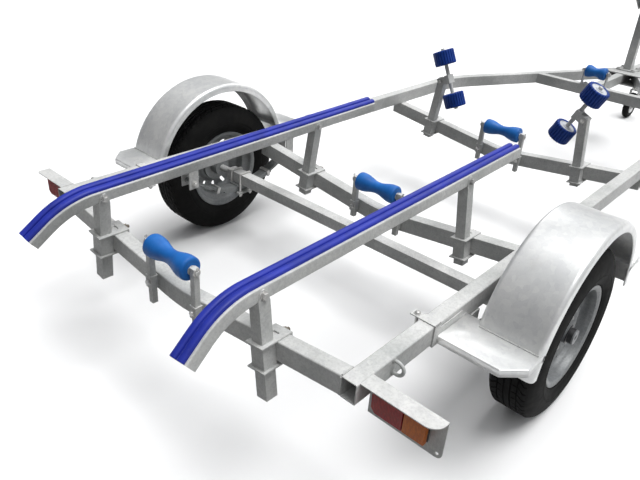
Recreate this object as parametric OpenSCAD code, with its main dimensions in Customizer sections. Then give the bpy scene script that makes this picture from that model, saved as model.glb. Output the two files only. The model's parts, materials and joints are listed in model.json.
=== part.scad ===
// Single-axle boat trailer with curved side rails, dipped cross members,
// padded skids, keel rollers, wobble rollers, winch post and jockey wheel.
// Millimetres. +X is the direction of travel, +Y is left, +Z is up, and the
// ground is z = 0. The origin is under the middle of the overall length.

/* [Frame] */
// Width over the two side rails
frame_w = 1420; // [1300:10:1600]
// Height of the rails' top face above the ground
rail_top = 496; // [480:2:560]
// Width of the rail tube
rail_w = 50; // [40:5:60]
// Height of the rail tube
rail_h = 65; // [50:5:75]
// Wall of every frame tube
tube_wall = 3; // [2.5:0.5:4]
// Distance from the tail to where the rails start to curve inward
bend_start = 2450; // [2350:10:2700]
// Radius of the curve, on the rail's outer face
bend_radius = 745; // [500:5:900]
// Angle through which each rail turns inward
bend_angle = 25.7; // [22:0.1:30]
// Width of the cross member tubes, along the trailer
cross_w = 50; // [40:5:60]
// Angle by which each half of a dipped cross member falls
dip_angle = 7.2; // [5:0.1:9]
// Radius of the bend at the middle of a dipped cross member, top face
dip_radius = 500; // [300:10:700]
// Rear face of the middle cross member, from the tail
middle_x = 1012; // [950:2:1060]
// Rear face of the front cross member, from the tail
front_x = 2070; // [1900:5:2150]
// Rear face of the straight nose cross member, from the tail
nose_x = 3218; // [3100:2:3300]

/* [Drawbar and coupling] */
// Width of the drawbar tube
drawbar_w = 50; // [45:5:60]
// Centre of the tow ball socket, from the tail
ball_x = 4905; // [4850:5:5100]
// Radius of the tow ball socket
socket_r = 25.4; // [24:0.1:26]
// Thickness of the plates over and under the nose of the frame
nose_plate_t = 6; // [4:1:10]
// Hole for a safety chain shackle
chain_hole_r = 9; // [6:0.5:10]

/* [Winch post] */
// Rear face of the post, from the tail
post_x = 3850; // [3820:5:3890]
// Side of the square post
post_side = 50; // [45:5:60]
// Height of the top of the post above the ground
post_top = 1080; // [1000:10:1200]
// Radius of the winch drum's flanges
drum_flange_r = 36; // [30:1:37]
// Length of the winch handle's crank
handle_reach = 200; // [150:5:240]

/* [Wheels and axle] */
// Height of the axle's centre above the ground
tyre_r = 304; // [296:1:312]
// Width of the tyre
tyre_w = 165; // [155:5:185]
// Rim flange radius
rim_r = 183; // [176:1:190]
// Rim width over the flanges
rim_w = 140; // [130:2:150]
// Distance between the middles of the two wheels
track = 1730; // [1710:5:1800]
// Axle centre, from the tail
axle_x = 858; // [840:2:880]
// Side of the square axle beam
axle_side = 48; // [40:2:50]
// Half the distance between the spring eyes
spring_half = 290; // [270:5:310]
// Radius of the wheel's spindle
spindle_r = 16; // [14:1:20]

/* [Mudguards] */
// Outer radius of the arch
guard_r = 375; // [365:1:400]
// Centre of the arch above the ground
guard_z = 346; // [335:1:360]
// Centre of the arch, from the tail
guard_x = 835; // [825:1:860]
// Inner side of the arch, from the centreline
guard_in = 765; // [755:1:775]
// Outer side of the arch, from the centreline
guard_out = 962; // [958:1:990]
// Height of the flat steps
step_z = 458; // [446:1:470]
// How far the arch reaches down below the steps
guard_tail = 86; // [10:1:100]
// Length of each step, along the trailer
step_len = 128; // [90:1:130]
// Thickness of the sheet
sheet_t = 3; // [2:0.5:4]

/* [Skids] */
// Middle of each skid at its underside, from the centreline
skid_y = 375; // [340:5:420]
// Underside of the skids above the rear cross member, at the tail
skid_z = 590; // [570:5:620]
// Width of the skid tube
skid_w = 66; // [60:2:76]
// Height of the skid tube
skid_h = 40; // [35:1:50]
// Front end of the skids, from the tail
skid_front = 1375; // [1250:5:1500]
// How far the curved tips reach behind the tail, at the pad's top edge
skid_reach = 280; // [240:1:320]
// Angle of the turned-down tips
tip_angle = 37; // [25:1:45]
// Radius of the bend before the tips, at the underside
tip_radius = 250; // [200:10:300]
// Length of the straight end of the tips
tip_len = 70; // [40:1:110]
// Slope of the skids along the trailer
skid_slope = 1.0; // [0.5:0.1:1.5]
// Width of the plastic pad strip
pad_w = 52; // [44:2:56]
// Thickness of the pad strip
pad_t = 12; // [8:1:16]
// Side of the square support posts
stem_side = 40; // [35:1:45]

/* [Rollers] */
// Length of the keel rollers
keel_len = 196; // [180:2:200]
// Radius of the keel rollers at their ends
keel_r = 38; // [34:1:42]
// Radius of the keel rollers' pins
keel_pin_r = 8; // [6:0.5:9]
// Radius of the wobble rollers
wobble_r = 56; // [50:1:57]
// Width of the wobble rollers
wobble_w = 76; // [70:1:80]
// Angle of the wobble spindles above the horizontal
wobble_angle = 63.8; // [60:0.1:68]
// Half the distance between the two rollers of a pair
wobble_gap = 114; // [110:1:120]

/* [Jockey wheel] */
// Jockey wheel leg, from the tail
jockey_x = 4560; // [4540:5:4600]
// Radius of the jockey wheel
jockey_r = 100; // [90:1:105]
// Width of the jockey wheel
jockey_w = 54; // [44:1:60]
// Outer radius of the fixed tube
jack_r = 24; // [22:0.5:26]

/* [Lamps] */
// Length of a tail lamp, across the trailer
lamp_len = 158; // [140:2:180]
// Height of a tail lamp
lamp_h = 80; // [60:1:84]

/* [Hidden] */
$fn = 64;
// clearances
run_gap = 0.05;
side_gap = 1;
seat_gap = 0.3;
zinc = "silver";
blue = "royalblue";
black = [0.08, 0.08, 0.08];

// the origin lies under the middle of the overall length
coupling_nose = 65;
overall = skid_reach + ball_x + coupling_nose;
tail_x = skid_reach - overall / 2;

half_w = frame_w / 2;
rail_in = half_w - rail_w;
rail_bottom = rail_top - rail_h;
drawbar_half = drawbar_w / 2;
// where the rails' inner faces meet the drawbar
bend_t = bend_radius * tan(bend_angle / 2);
vertex_x = bend_start + bend_t;
slant_w = rail_w / cos(bend_angle);
rail_end = vertex_x + (half_w - slant_w - drawbar_half) / tan(bend_angle);
function rail_outer_y(x) = half_w - tan(bend_angle) * (x - vertex_x);
function rail_inner_y(x) = rail_outer_y(x) - slant_w;

// dipped cross members: z of a face that lies `down` below the top face
function dip_centre(z_end, half) = z_end + dip_radius * cos(dip_angle)
    - tan(dip_angle) * (half - dip_radius * sin(dip_angle));
function dip_z(y, down, z_end, half) =
    let (r = dip_radius + down, a = abs(y), flat = r * sin(dip_angle))
    a < flat ? dip_centre(z_end, half) - sqrt(r * r - a * a)
             : dip_centre(z_end, half) - r * cos(dip_angle) + tan(dip_angle) * (a - flat);
dip_steps = 6;
function dip_edge(down, z_end, half, reach) = concat(
    [[-reach, dip_z(reach, down, z_end, half)]],
    [for (i = [-dip_steps : dip_steps])
        let (y = (dip_radius + down) * sin(dip_angle * i / dip_steps))
        [y, dip_z(y, down, z_end, half)]],
    [[reach, dip_z(reach, down, z_end, half)]]);
function backward(list) = [for (i = [len(list) - 1 : -1 : 0]) list[i]];

// heights of the dipped members' tops where they meet the rails
rear_dip_end = rail_top;
low_dip_end = rail_bottom;

// skids
post_plane = -tube_wall - stem_side / 2;
wobble_post_top = 14;
clamp_t = 5;
clamp_lip = 9;
clamp_slot_r = 4;
clamp_slot_half = 8;
sleeve_t = 4;
// how far the posts reach below the top of the member they are clamped to
rear_below = 178;
low_below = 105;
wobble_below = 95;
// the post's square top stays this far below the sloping skid
post_slack = 0.5;

// wheels
wheel_y = track / 2;
axle_z = tyre_r;

// wobble rollers
wobble_pivot = [front_x + post_plane, 394, 630];
wobble_offset = 42;
spindle_r_w = 10;
wobble_pin_r = 6;
ear_t = 5;

// jockey wheel
jack_y = drawbar_half + 34 + jack_r;
pivot_z = rail_top - rail_h / 2;
jack_bottom = 420;
jack_top = 800;
leg_r = jack_r - 3 - run_gap;
fork_top = 222;
jockey_trail = 36;
jockey_axle_r = 8;

// ---------- helpers ----------
module from_tail(x, y = 0, z = 0) { translate([tail_x + x, y, z]) children(); }
module mirrored() { mirror([0, 1, 0]) children(); }
module both_sides() {
    children();
    mirrored() children();
}
// a cylinder along X or Y, centred
module bar_x(r, l) { rotate([0, 90, 0]) cylinder(r = r, h = l, center = true); }
module bar_y(r, l) { rotate([90, 0, 0]) cylinder(r = r, h = l, center = true); }
module block(size) { cube(size, center = true); }

// ---------- frame ----------
rail_steps = 10;
function rail_edge(off, x0, x1) = concat([[x0, half_w - off]],
    [for (i = [0 : rail_steps])
        let (a = bend_angle * i / rail_steps, r = bend_radius - off)
        [bend_start + r * sin(a), half_w - bend_radius + r * cos(a)]],
    [[x1, rail_outer_y(x1) - off / cos(bend_angle)]]);
module rail_tube(off, h, over) {
    linear_extrude(h)
        polygon(concat(rail_edge(off, -over, rail_end + over),
            backward(rail_edge(rail_w - off, -over, rail_end + over))));
}
module side_rail() {
    color(zinc) from_tail(0, 0, rail_bottom) difference() {
        rail_tube(0, rail_h, 0);
        translate([0, 0, tube_wall]) rail_tube(tube_wall, rail_h - 2 * tube_wall, 1);
    }
}
module left_side_rail() { side_rail(); }
module right_side_rail() { mirrored() side_rail(); }

// a dipped tube across the trailer; its rear face is at x = 0
module dipped_solid(inset, z_end, half, reach) {
    translate([inset, 0, 0]) rotate([90, 0, 90]) linear_extrude(cross_w - 2 * inset)
        polygon(concat(dip_edge(inset, z_end, half, reach),
            backward(dip_edge(rail_h - inset, z_end, half, reach))));
}
module dipped_member(z_end, half, reach) {
    difference() {
        dipped_solid(0, z_end, half, reach);
        dipped_solid(tube_wall, z_end, half, reach + 1);
    }
}
module rear_cross_member() {
    color(zinc) from_tail(0) dipped_member(rear_dip_end, rail_in, rail_in);
}
// the two low members run under the rails and are notched for them
module low_member(x) {
    color(zinc) from_tail(x) difference() {
        dipped_member(low_dip_end, rail_in, half_w);
        both_sides() translate([-1, rail_in, rail_bottom])
            cube([cross_w + 2, rail_w + 1, rail_h]);
    }
}
module middle_cross_member() { low_member(middle_x); }
module front_cross_member() { low_member(front_x); }

module nose_outline(inset, x0, x1) {
    polygon([[x0, -rail_inner_y(x0) + inset], [x1, -rail_inner_y(x1) + inset],
        [x1, rail_inner_y(x1) - inset], [x0, rail_inner_y(x0) - inset]]);
}
module nose_cross_member() {
    color(zinc) from_tail(0, 0, rail_bottom) difference() {
        linear_extrude(rail_h) nose_outline(0, nose_x, nose_x + cross_w);
        translate([0, 0, tube_wall]) linear_extrude(rail_h - 2 * tube_wall)
            nose_outline(-1, nose_x + tube_wall, nose_x + cross_w - tube_wall);
    }
}
drawbar_start = nose_x + cross_w;
drawbar_end = ball_x - 90;
module drawbar() {
    color(zinc) from_tail(drawbar_start, -drawbar_half, rail_bottom) difference() {
        cube([drawbar_end - drawbar_start, drawbar_w, rail_h]);
        translate([-1, tube_wall, tube_wall])
            cube([drawbar_end - drawbar_start + 2, drawbar_w - 2 * tube_wall,
                rail_h - 2 * tube_wall]);
    }
}
// plates over and under the nose tie the rails to the drawbar
nose_plate_rear = rail_end - 195;
nose_plate_front = rail_end - 5;
module nose_plate() {
    linear_extrude(nose_plate_t) polygon([
        [nose_plate_rear, -rail_inner_y(nose_plate_rear) - rail_w / 2],
        [nose_plate_front, -rail_inner_y(nose_plate_front) - rail_w / 2],
        [nose_plate_front, rail_inner_y(nose_plate_front) + rail_w / 2],
        [nose_plate_rear, rail_inner_y(nose_plate_rear) + rail_w / 2]]);
}
module nose_plates() {
    color(zinc) {
        from_tail(0, 0, rail_top) nose_plate();
        from_tail(0, 0, rail_bottom - nose_plate_t) nose_plate();
    }
}

// ---------- coupling ----------
coupling_base = rail_top;
socket_z = coupling_base + 22;
shell_t = 6;
head_r = socket_r + shell_t;
skirt_r = 46;
nose_r = 24;
body_h = 30;
lever_back = 84;
coupling_rear = drawbar_end - 130;
module coupling() {
    color(zinc) from_tail(0) difference() {
        union() {
            translate([ball_x, 0, socket_z - 14]) cylinder(r = head_r + 4, h = 14);
            translate([ball_x, 0, socket_z]) cylinder(r = head_r + 4, h = 14);
            translate([ball_x, 0, socket_z + 14]) cylinder(r1 = head_r + 4, r2 = 18, h = 22);
            translate([ball_x, 0, socket_z - 14]) cylinder(r = skirt_r, h = shell_t);
            translate([ball_x + coupling_nose - nose_r, 0, socket_z - 14])
                cylinder(r = nose_r, h = shell_t);
            translate([coupling_rear, -drawbar_half - 2, coupling_base])
                cube([ball_x - coupling_rear, drawbar_w + 4, body_h]);
        }
        translate([ball_x, 0, socket_z]) sphere(r = socket_r);
        translate([ball_x, 0, socket_z - 40]) cylinder(r = socket_r, h = 40);
        translate([coupling_rear - 1, -drawbar_half + 4, coupling_base - 1])
            cube([ball_x - coupling_rear - head_r + 1, drawbar_w - 8, body_h - 5]);
    }
}
module coupling_lever() {
    color("dimgray") from_tail(ball_x - lever_back, 0, coupling_base + body_h + 0.2) {
        translate([-20, -8, 0]) cube([50, 16, 24]);
        translate([-86, -12, 20]) cube([130, 24, 7]);
        translate([-100, -16, 20]) cube([24, 32, 7]);
    }
}
// plate beside the drawbar with a hole for the safety chain's shackle
module chain_lug() {
    color(zinc) from_tail(drawbar_end - 220, -drawbar_half - 8, rail_bottom) difference() {
        translate([-30, 0, -30]) cube([60, 8, 74]);
        translate([0, 4, -12]) bar_y(chain_hole_r, 20);
    }
}

// ---------- winch post ----------
post_z = rail_top + nose_plate_t;
foot_t = 8;
module winch_post() {
    color(zinc) from_tail(post_x) difference() {
        union() {
            translate([0, -post_side / 2, post_z])
                cube([post_side, post_side, post_top - post_z]);
            translate([-34, -62, post_z]) cube([post_side + 68, 124, foot_t]);
            both_sides() translate([post_side / 2, 0, post_z + foot_t])
                rotate([90, 0, 0]) translate([0, 0, post_side / 2 - 6]) linear_extrude(6)
                    polygon([[post_side / 2, 0], [post_side / 2 + 30, 0], [post_side / 2, 70]]);
        }
        translate([tube_wall, tube_wall - post_side / 2, post_z + foot_t])
            cube([post_side - 2 * tube_wall, post_side - 2 * tube_wall, post_top]);
    }
}
// winch: a folded channel on the post's top carries the drum and the crank shaft
frame_half = 54;
drum_half = 32;
frame_t = 4;
cheek_h = 140;
winch_x = post_x + post_side / 2;
drum_at = [winch_x - 20, 0, post_top + 75];
crank_at = [winch_x + 26, 0, post_top + 100];
shaft_r = 8;
gear_y = 44;
gear_t = 8;
gear_ratio = 3;
shaft_gap = sqrt(pow(crank_at[0] - drum_at[0], 2) + pow(crank_at[2] - drum_at[2], 2));
pinion_r = shaft_gap / (1 + gear_ratio);
mesh_gap = 0.3;
module winch_frame() {
    color(zinc) from_tail(0) difference() {
        union() {
            translate([winch_x - 70, -frame_half - frame_t, post_top])
                cube([140, 2 * (frame_half + frame_t), frame_t]);
            both_sides() translate([winch_x - 66, frame_half, post_top])
                cube([132, frame_t, cheek_h]);
        }
        for (at = [drum_at, crank_at]) translate(at) bar_y(shaft_r + run_gap, 300);
    }
}
module winch_drum() {
    color("gainsboro") from_tail(drum_at[0], 0, drum_at[2]) {
        bar_y(shaft_r, 2 * (frame_half + frame_t) + 12);
        bar_y(20, 2 * drum_half);
        for (y = [-drum_half, drum_half]) translate([0, y, 0]) bar_y(drum_flange_r, 4);
        translate([0, gear_y, 0]) bar_y(pinion_r * gear_ratio - mesh_gap, gear_t);
        translate([0, drum_half, 0]) rotate([-90, 0, 0]) cylinder(r = 16, h = gear_y - drum_half);
    }
}
module winch_handle() {
    color("gray") from_tail(crank_at[0], 0, crank_at[2]) {
        bar_y(shaft_r, 2 * (frame_half + frame_t) + 60);
        translate([0, gear_y, 0]) bar_y(pinion_r - mesh_gap, gear_t);
        translate([0, -frame_half - 32, 0]) rotate([0, -30, 0]) {
            translate([-14, -6, -14]) cube([handle_reach + 14, 12, 28]);
            translate([handle_reach - 16, -55, 0]) bar_y(15, 100);
        }
    }
}
// bow stop: two arms reach back from the post and hold a roller
bow_at = [post_x - 120, 0, post_top - 60];
bow_len = 76;
module bow_stop_arms() {
    color(zinc) from_tail(0) {
        both_sides() difference() {
            translate([0, post_side / 2 + 20, 0]) rotate([90, 0, 0]) linear_extrude(6) polygon([
                [bow_at[0] - 20, bow_at[2] - 16], [bow_at[0] - 20, bow_at[2] + 20],
                [bow_at[0] + 20, bow_at[2] + 26], [post_x + post_side, post_top - 70],
                [post_x + post_side, post_top - 170], [post_x, post_top - 170]]);
        }
        both_sides() translate([post_x + 6, post_side / 2, post_top - 150])
            cube([post_side - 12, 15, 60]);
        translate(bow_at) bar_y(keel_pin_r, 2 * (post_side / 2 + 20));
    }
}
module roller_profile(r_end, r_mid, len, bore) {
    // hourglass: the waist is an arc between the two flared ends
    n = 10;
    rotate_extrude() polygon(concat([[bore, -len / 2]],
        [for (i = [0 : n])
            let (t = i / n * 2 - 1)
            [r_mid + (r_end - r_mid) * t * t, t * len / 2]],
        [[bore, len / 2]]));
}
module bow_roller() {
    color(blue) from_tail(bow_at[0], bow_at[1], bow_at[2])
        rotate([90, 0, 0]) roller_profile(42, 30, bow_len, keel_pin_r + run_gap);
}

// ---------- jockey wheel ----------
module at_jack(z = 0) { from_tail(jockey_x, jack_y, z) children(); }
module jockey_bracket() {
    color(zinc) from_tail(jockey_x, drawbar_half, pivot_z) {
        translate([-50, 0, -rail_h / 2]) cube([100, 8, rail_h]);
        translate([0, 8, 0]) rotate([-90, 0, 0]) cylinder(r = 22, h = 12);
        translate([0, 8, 0]) rotate([-90, 0, 0]) cylinder(r = 10, h = 25);
    }
}
module jockey_tube() {
    color(zinc) difference() {
        union() {
            at_jack(jack_bottom) cylinder(r = jack_r, h = jack_top - jack_bottom);
            from_tail(jockey_x, drawbar_half + 20.5, pivot_z) rotate([-90, 0, 0])
                cylinder(r = 40, h = 8);
            from_tail(jockey_x - 14, drawbar_half + 28, pivot_z - 34)
                cube([28, 14, 68]);
            at_jack(jack_top) cylinder(r = jack_r + 3, h = 10);
        }
        at_jack(jack_bottom - 1) cylinder(r = leg_r + run_gap, h = jack_top - jack_bottom + 1);
        from_tail(jockey_x, drawbar_half + 19, pivot_z) rotate([-90, 0, 0])
            cylinder(r = 10 + run_gap, h = 15);
    }
}
module jockey_crank() {
    color("dimgray") at_jack(jack_top + 10) {
        cylinder(r = 9, h = 22);
        translate([-9, -9, 22]) cube([96, 18, 8]);
        translate([76, 0, 30]) cylinder(r = 13, h = 60);
    }
}
module jockey_leg() {
    color("gainsboro") at_jack(fork_top) difference() {
        union() {
            cylinder(r = leg_r, h = jack_bottom - fork_top + 150);
            cylinder(r = leg_r + 8, h = 8);
        }
        translate([0, 0, 30]) cylinder(r = leg_r - 3, h = jack_bottom);
        translate([0, 0, -1]) cylinder(r = 8 + run_gap, h = 32);
    }
}
module jockey_fork() {
    color(zinc) at_jack(0) difference() {
        union() {
            translate([0, 0, fork_top - 6.5]) cylinder(r = 30, h = 6);
            translate([0, 0, fork_top - 1]) cylinder(r = 8, h = 28);
            both_sides() translate([0, jockey_w / 2 + 6, 0]) rotate([90, 0, 0])
                linear_extrude(5) polygon([[-28, fork_top - 1], [28, fork_top - 1],
                    [-jockey_trail + 18, jockey_r - 16], [-jockey_trail - 18, jockey_r - 16]]);
            translate([-28, -jockey_w / 2 - 6, fork_top - 6.5])
                cube([56, jockey_w + 12, 6]);
            translate([-jockey_trail, 0, jockey_r]) bar_y(jockey_axle_r, jockey_w + 24);
        }
    }
}
module jockey_wheel() {
    color(black) at_jack(0) translate([-jockey_trail, 0, jockey_r]) rotate([90, 0, 0])
        rotate_extrude() polygon([[jockey_axle_r + run_gap, -jockey_w / 2],
            [30, -jockey_w / 2], [30, -12], [58, -12], [62, -jockey_w / 2 + 6],
            [jockey_r - 14, -jockey_w / 2 + 2], [jockey_r - 4, -jockey_w / 2 + 8],
            [jockey_r, -8], [jockey_r, 8], [jockey_r - 4, jockey_w / 2 - 8],
            [jockey_r - 14, jockey_w / 2 - 2], [62, jockey_w / 2 - 6], [58, 12], [30, 12],
            [30, jockey_w / 2], [jockey_axle_r + run_gap, jockey_w / 2]]);
}

// ---------- skids ----------
// frame of the left leg of a dipped member: z is square to the leg
module on_skid_line() {
    translate([0, skid_y, 0]) translate([0, 0, skid_z]) rotate([dip_angle, 0, 0]) children();
}
tip_steps = 8;
bend_x = (tip_radius + skid_h + pad_t) * sin(tip_angle) + tip_len * cos(tip_angle) - skid_reach;
// side view outline of a bar of thickness t whose underside is `up` above the skid's
function skid_edge(up, x1) = concat(
    [[x1, tan(skid_slope) * x1 + up]],
    [[bend_x, up + tan(skid_slope) * bend_x]],
    [for (i = [1 : tip_steps])
        let (a = tip_angle * i / tip_steps, r = tip_radius + up)
        [bend_x - r * sin(a), tan(skid_slope) * bend_x + up - r * (1 - cos(a))]],
    [let (r = tip_radius + up)
        [bend_x - r * sin(tip_angle) - tip_len * cos(tip_angle),
         tan(skid_slope) * bend_x + up - r * (1 - cos(tip_angle)) - tip_len * sin(tip_angle)]]);
module skid_bar(low, high, w, x1) {
    rotate([90, 0, 0]) linear_extrude(w, center = true)
        polygon(concat(skid_edge(low, x1), backward(skid_edge(high, x1))));
}
module skid() {
    color(zinc) from_tail(0) on_skid_line() difference() {
        skid_bar(0, skid_h, skid_w, skid_front);
        translate([0.5, 0, 0]) skid_bar(tube_wall, skid_h - tube_wall,
            skid_w - 2 * tube_wall, skid_front);
    }
}
module skid_pad() {
    color(blue) from_tail(0) on_skid_line() difference() {
        skid_bar(skid_h, skid_h + pad_t, pad_w, skid_front);
        skid_bar(skid_h + 4, skid_h + pad_t + 1, 5, skid_front + 1);
    }
}
module left_skid() { skid(); }
module right_skid() { mirrored() skid(); }
module left_skid_pad() { skid_pad(); }
module right_skid_pad() { mirrored() skid_pad(); }

// frame of a post: z runs up the post, square to the leg it is clamped to
module on_post(x, y, z, up = 0) {
    from_tail(x + post_plane, y, z) rotate([dip_angle, 0, 0]) translate([0, 0, up]) children();
}
// distance from a point down to the leg's top face, square to the leg
function post_height(y, z, z_end) =
    (z - dip_z(y, 0, z_end, rail_in)) * cos(dip_angle);
function skid_rise(x) = tan(skid_slope) * (x + post_plane);
rear_height = post_height(skid_y, skid_z, rear_dip_end);
middle_height = post_height(skid_y, skid_z, low_dip_end);
wobble_height = post_height(wobble_pivot[1], wobble_pivot[2], low_dip_end);
module post_tube(top, bottom) {
    inside = stem_side - 2 * tube_wall;
    difference() {
        translate([-stem_side / 2, -stem_side / 2, -bottom])
            cube([stem_side, stem_side, top + bottom]);
        translate([-inside / 2, -inside / 2, -bottom - 1])
            cube([inside, inside, bottom - 8]);
    }
}
// the skids rest on their posts, each held by an ear on its right side
ear_back = 5;
ear_rise = 34;
post_shift = skid_w / 2 + 0.2 + ear_back - stem_side / 2;
module skid_ear(side) {
    translate([0, side * (skid_w / 2 + 0.2 + ear_back / 2), 0]) rotate([90, 0, 0])
        linear_extrude(ear_back, center = true) polygon([
            [-stem_side / 2, -30], [stem_side / 2, -30], [stem_side / 2, -2],
            [stem_side / 2 - 8, ear_rise - 8], [stem_side / 2 - 16, ear_rise],
            [-stem_side / 2 + 16, ear_rise], [-stem_side / 2 + 8, ear_rise - 8],
            [-stem_side / 2, -2]]);
}
module skid_post(x, height, side) {
    on_post(x, skid_y, skid_z, skid_rise(x)) {
        translate([0, side * post_shift, 0])
            post_tube(-seat_gap - post_slack, height + skid_rise(x) + (x > 0 ? low_below : rear_below));
        skid_ear(side);
    }
}
module skid_posts() {
    color(zinc) for (side = [-1, 1]) mirror([0, side == 1 ? 1 : 0, 0]) {
        skid_post(0, rear_height, side);
        skid_post(middle_x, middle_height, side);
    }
}
module wobble_posts() {
    color(zinc) both_sides() {
        on_post(front_x, wobble_pivot[1], wobble_pivot[2])
            post_tube(wobble_post_top, wobble_height + wobble_below);
        from_tail(wobble_pivot[0], wobble_pivot[1], wobble_pivot[2])
            bar_x(wobble_pin_r, stem_side + 2 * ear_t + 14);
    }
}
// a clamp: sleeve round the post, and plates over and under the cross member
clamp_gap = 0.2;
clamp_drop = 8;
tab_h = 22;
module post_clamp() {
    back = stem_side / 2 + sleeve_t;
    side = back + clamp_lip;
    front = cross_w - post_plane;
    hole = stem_side + 2 * clamp_gap;
    difference() {
        union() {
            translate([-back, -back, -rail_h - clamp_drop - 1])
                cube([back - post_plane - clamp_gap, 2 * back, rail_h + clamp_drop + 2]);
            for (z = [clamp_gap, -rail_h - clamp_t - clamp_drop])
                translate([-side, -side, z]) cube([front + 6 + side, 2 * side, clamp_t]);
            translate([front + 1, -side, -tab_h]) cube([5, 2 * side, tab_h + 1]);
        }
        translate([-hole / 2, -hole / 2, -rail_h - 40]) cube([hole, hole, rail_h + 60]);
        translate([front - cross_w / 2, 0, -1]) {
            for (s = [-1, 1])
                translate([0, s * clamp_slot_half, 0]) cylinder(r = clamp_slot_r, h = clamp_t + 3);
            translate([-clamp_slot_r, -clamp_slot_half, 0])
                cube([2 * clamp_slot_r, 2 * clamp_slot_half, clamp_t + 3]);
        }
    }
}
module post_clamps() {
    color(zinc) for (side = [-1, 1]) mirror([0, side == 1 ? 1 : 0, 0]) {
        on_post(0, skid_y, skid_z, -rear_height)
            translate([0, side * post_shift, 0]) post_clamp();
        on_post(middle_x, skid_y, skid_z, -middle_height)
            translate([0, side * post_shift, 0]) post_clamp();
        on_post(front_x, wobble_pivot[1], wobble_pivot[2], -wobble_height) post_clamp();
    }
}

// ---------- wobble rollers ----------
module at_wobble() {
    from_tail(wobble_pivot[0], wobble_pivot[1], wobble_pivot[2])
        rotate([wobble_angle, 0, 0]) translate([0, 0, wobble_offset]) children();
}
// local: y runs along the spindle, z points at the hull
module wobble_arm() {
    color(zinc) difference() {
        at_wobble() {
            bar_y(spindle_r_w, 2 * wobble_gap + wobble_w + 20);
            block([stem_side + 2 * (ear_t + side_gap), 46, 24]);
            for (s = [-1, 1])
                translate([s * (stem_side / 2 + side_gap + ear_t / 2), 0, -wobble_offset / 2 - 6])
                    block([ear_t, 36, wobble_offset + 24]);
        }
        from_tail(wobble_pivot[0], wobble_pivot[1], wobble_pivot[2])
            bar_x(wobble_pin_r + run_gap, 200);
    }
}
module wobble_roller(s) {
    color(blue) at_wobble() translate([0, s * wobble_gap, 0]) rotate([90, 0, 0])
        rotate_extrude() polygon([[spindle_r_w + run_gap, -wobble_w / 2 + 6],
            [wobble_r - 16, -wobble_w / 2 + 6], [wobble_r - 14, -wobble_w / 2],
            [wobble_r - 6, -wobble_w / 2], [wobble_r, -wobble_w / 2 + 6],
            [wobble_r, wobble_w / 2 - 6], [wobble_r - 6, wobble_w / 2],
            [wobble_r - 14, wobble_w / 2], [wobble_r - 16, wobble_w / 2 - 6],
            [spindle_r_w + run_gap, wobble_w / 2 - 6]]);
}
module left_wobble_arm() { wobble_arm(); }
module right_wobble_arm() { mirrored() wobble_arm(); }
module left_upper_roller() { wobble_roller(1); }
module left_lower_roller() { wobble_roller(-1); }
module right_upper_roller() { mirrored() wobble_roller(1); }
module right_lower_roller() { mirrored() wobble_roller(-1); }

// ---------- keel rollers ----------
keel_stem = 20;
socket_t = 4;
socket_h = 46;
keel_plane = -keel_stem / 2 - socket_t;
stem_y = keel_len / 2 + 4 + keel_stem / 2;
stations = [[0, rear_dip_end, 535, 235], [middle_x, low_dip_end, 452, 185],
    [front_x, low_dip_end, 460, 205]];
module at_keel(i) { from_tail(stations[i][0] + keel_plane, 0, stations[i][2]) children(); }
module keel_brackets() {
    color(zinc) for (i = [0 : 2]) at_keel(i) {
        both_sides() translate([-keel_stem / 2, stem_y - keel_stem / 2, 14 - stations[i][3]])
            cube([keel_stem, keel_stem, stations[i][3]]);
        bar_y(keel_pin_r, 2 * stem_y + 34);
    }
}
module keel_sockets() {
    color(zinc) for (i = [0 : 2]) both_sides() {
        z = dip_z(stem_y, 0, stations[i][1], rail_in);
        hole = keel_stem + 2 * clamp_gap;
        wide = keel_stem + 2 * socket_t;
        from_tail(stations[i][0], stem_y, z - socket_h - 8) difference() {
            translate([-wide, -wide / 2 - 1, 0]) cube([wide, wide + 2, socket_h]);
            translate([keel_plane - hole / 2, -hole / 2, -1]) cube([hole, hole, socket_h + 2]);
        }
    }
}
module keel_roller(i) {
    color(blue) at_keel(i) rotate([90, 0, 0])
        roller_profile(keel_r, keel_r - 12, keel_len, keel_pin_r + run_gap);
}
module rear_keel_roller() { keel_roller(0); }
module middle_keel_roller() { keel_roller(1); }
module front_keel_roller() { keel_roller(2); }

// spool roller on the nose cross member
nose_roller_len = 130;
nose_roller_at = [nose_x + cross_w / 2, 0, rail_top + 84];
module nose_roller_bracket() {
    color(zinc) from_tail(nose_roller_at[0]) {
        translate([-cross_w / 2, -nose_roller_len / 2 - 12, rail_top])
            cube([cross_w, nose_roller_len + 24, 5]);
        both_sides() translate([-15, nose_roller_len / 2 + 6, rail_top])
            cube([30, 6, 100]);
        translate([0, 0, nose_roller_at[2]]) bar_y(keel_pin_r, nose_roller_len + 44);
    }
}
module nose_roller() {
    color(blue) from_tail(nose_roller_at[0], 0, nose_roller_at[2]) rotate([90, 0, 0])
        rotate_extrude() polygon([[keel_pin_r + run_gap, -nose_roller_len / 2],
            [38, -nose_roller_len / 2], [38, -nose_roller_len / 2 + 14], [30, -32], [26, 0],
            [30, 32], [38, nose_roller_len / 2 - 14], [38, nose_roller_len / 2],
            [keel_pin_r + run_gap, nose_roller_len / 2]]);
}

// ---------- axle, springs and wheels ----------
beam_half = wheel_y - 110;
spindle_len = 150;
hub_r = 46;
module axle_beam() {
    color(zinc) from_tail(axle_x, 0, axle_z) {
        block([axle_side, 2 * beam_half, axle_side]);
        both_sides() translate([0, beam_half - 1, 0]) rotate([-90, 0, 0])
            cylinder(r = spindle_r, h = spindle_len);
    }
}
spring_y = half_w - rail_w / 2;
leaf_w = 45;
leaf_t = 7;
leaves = 4;
eye_z = rail_bottom - 62;
eye_r = 13;
spring_top = axle_z - axle_side / 2 - 8;
camber = eye_z - spring_top;
spring_steps = 8;
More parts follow.
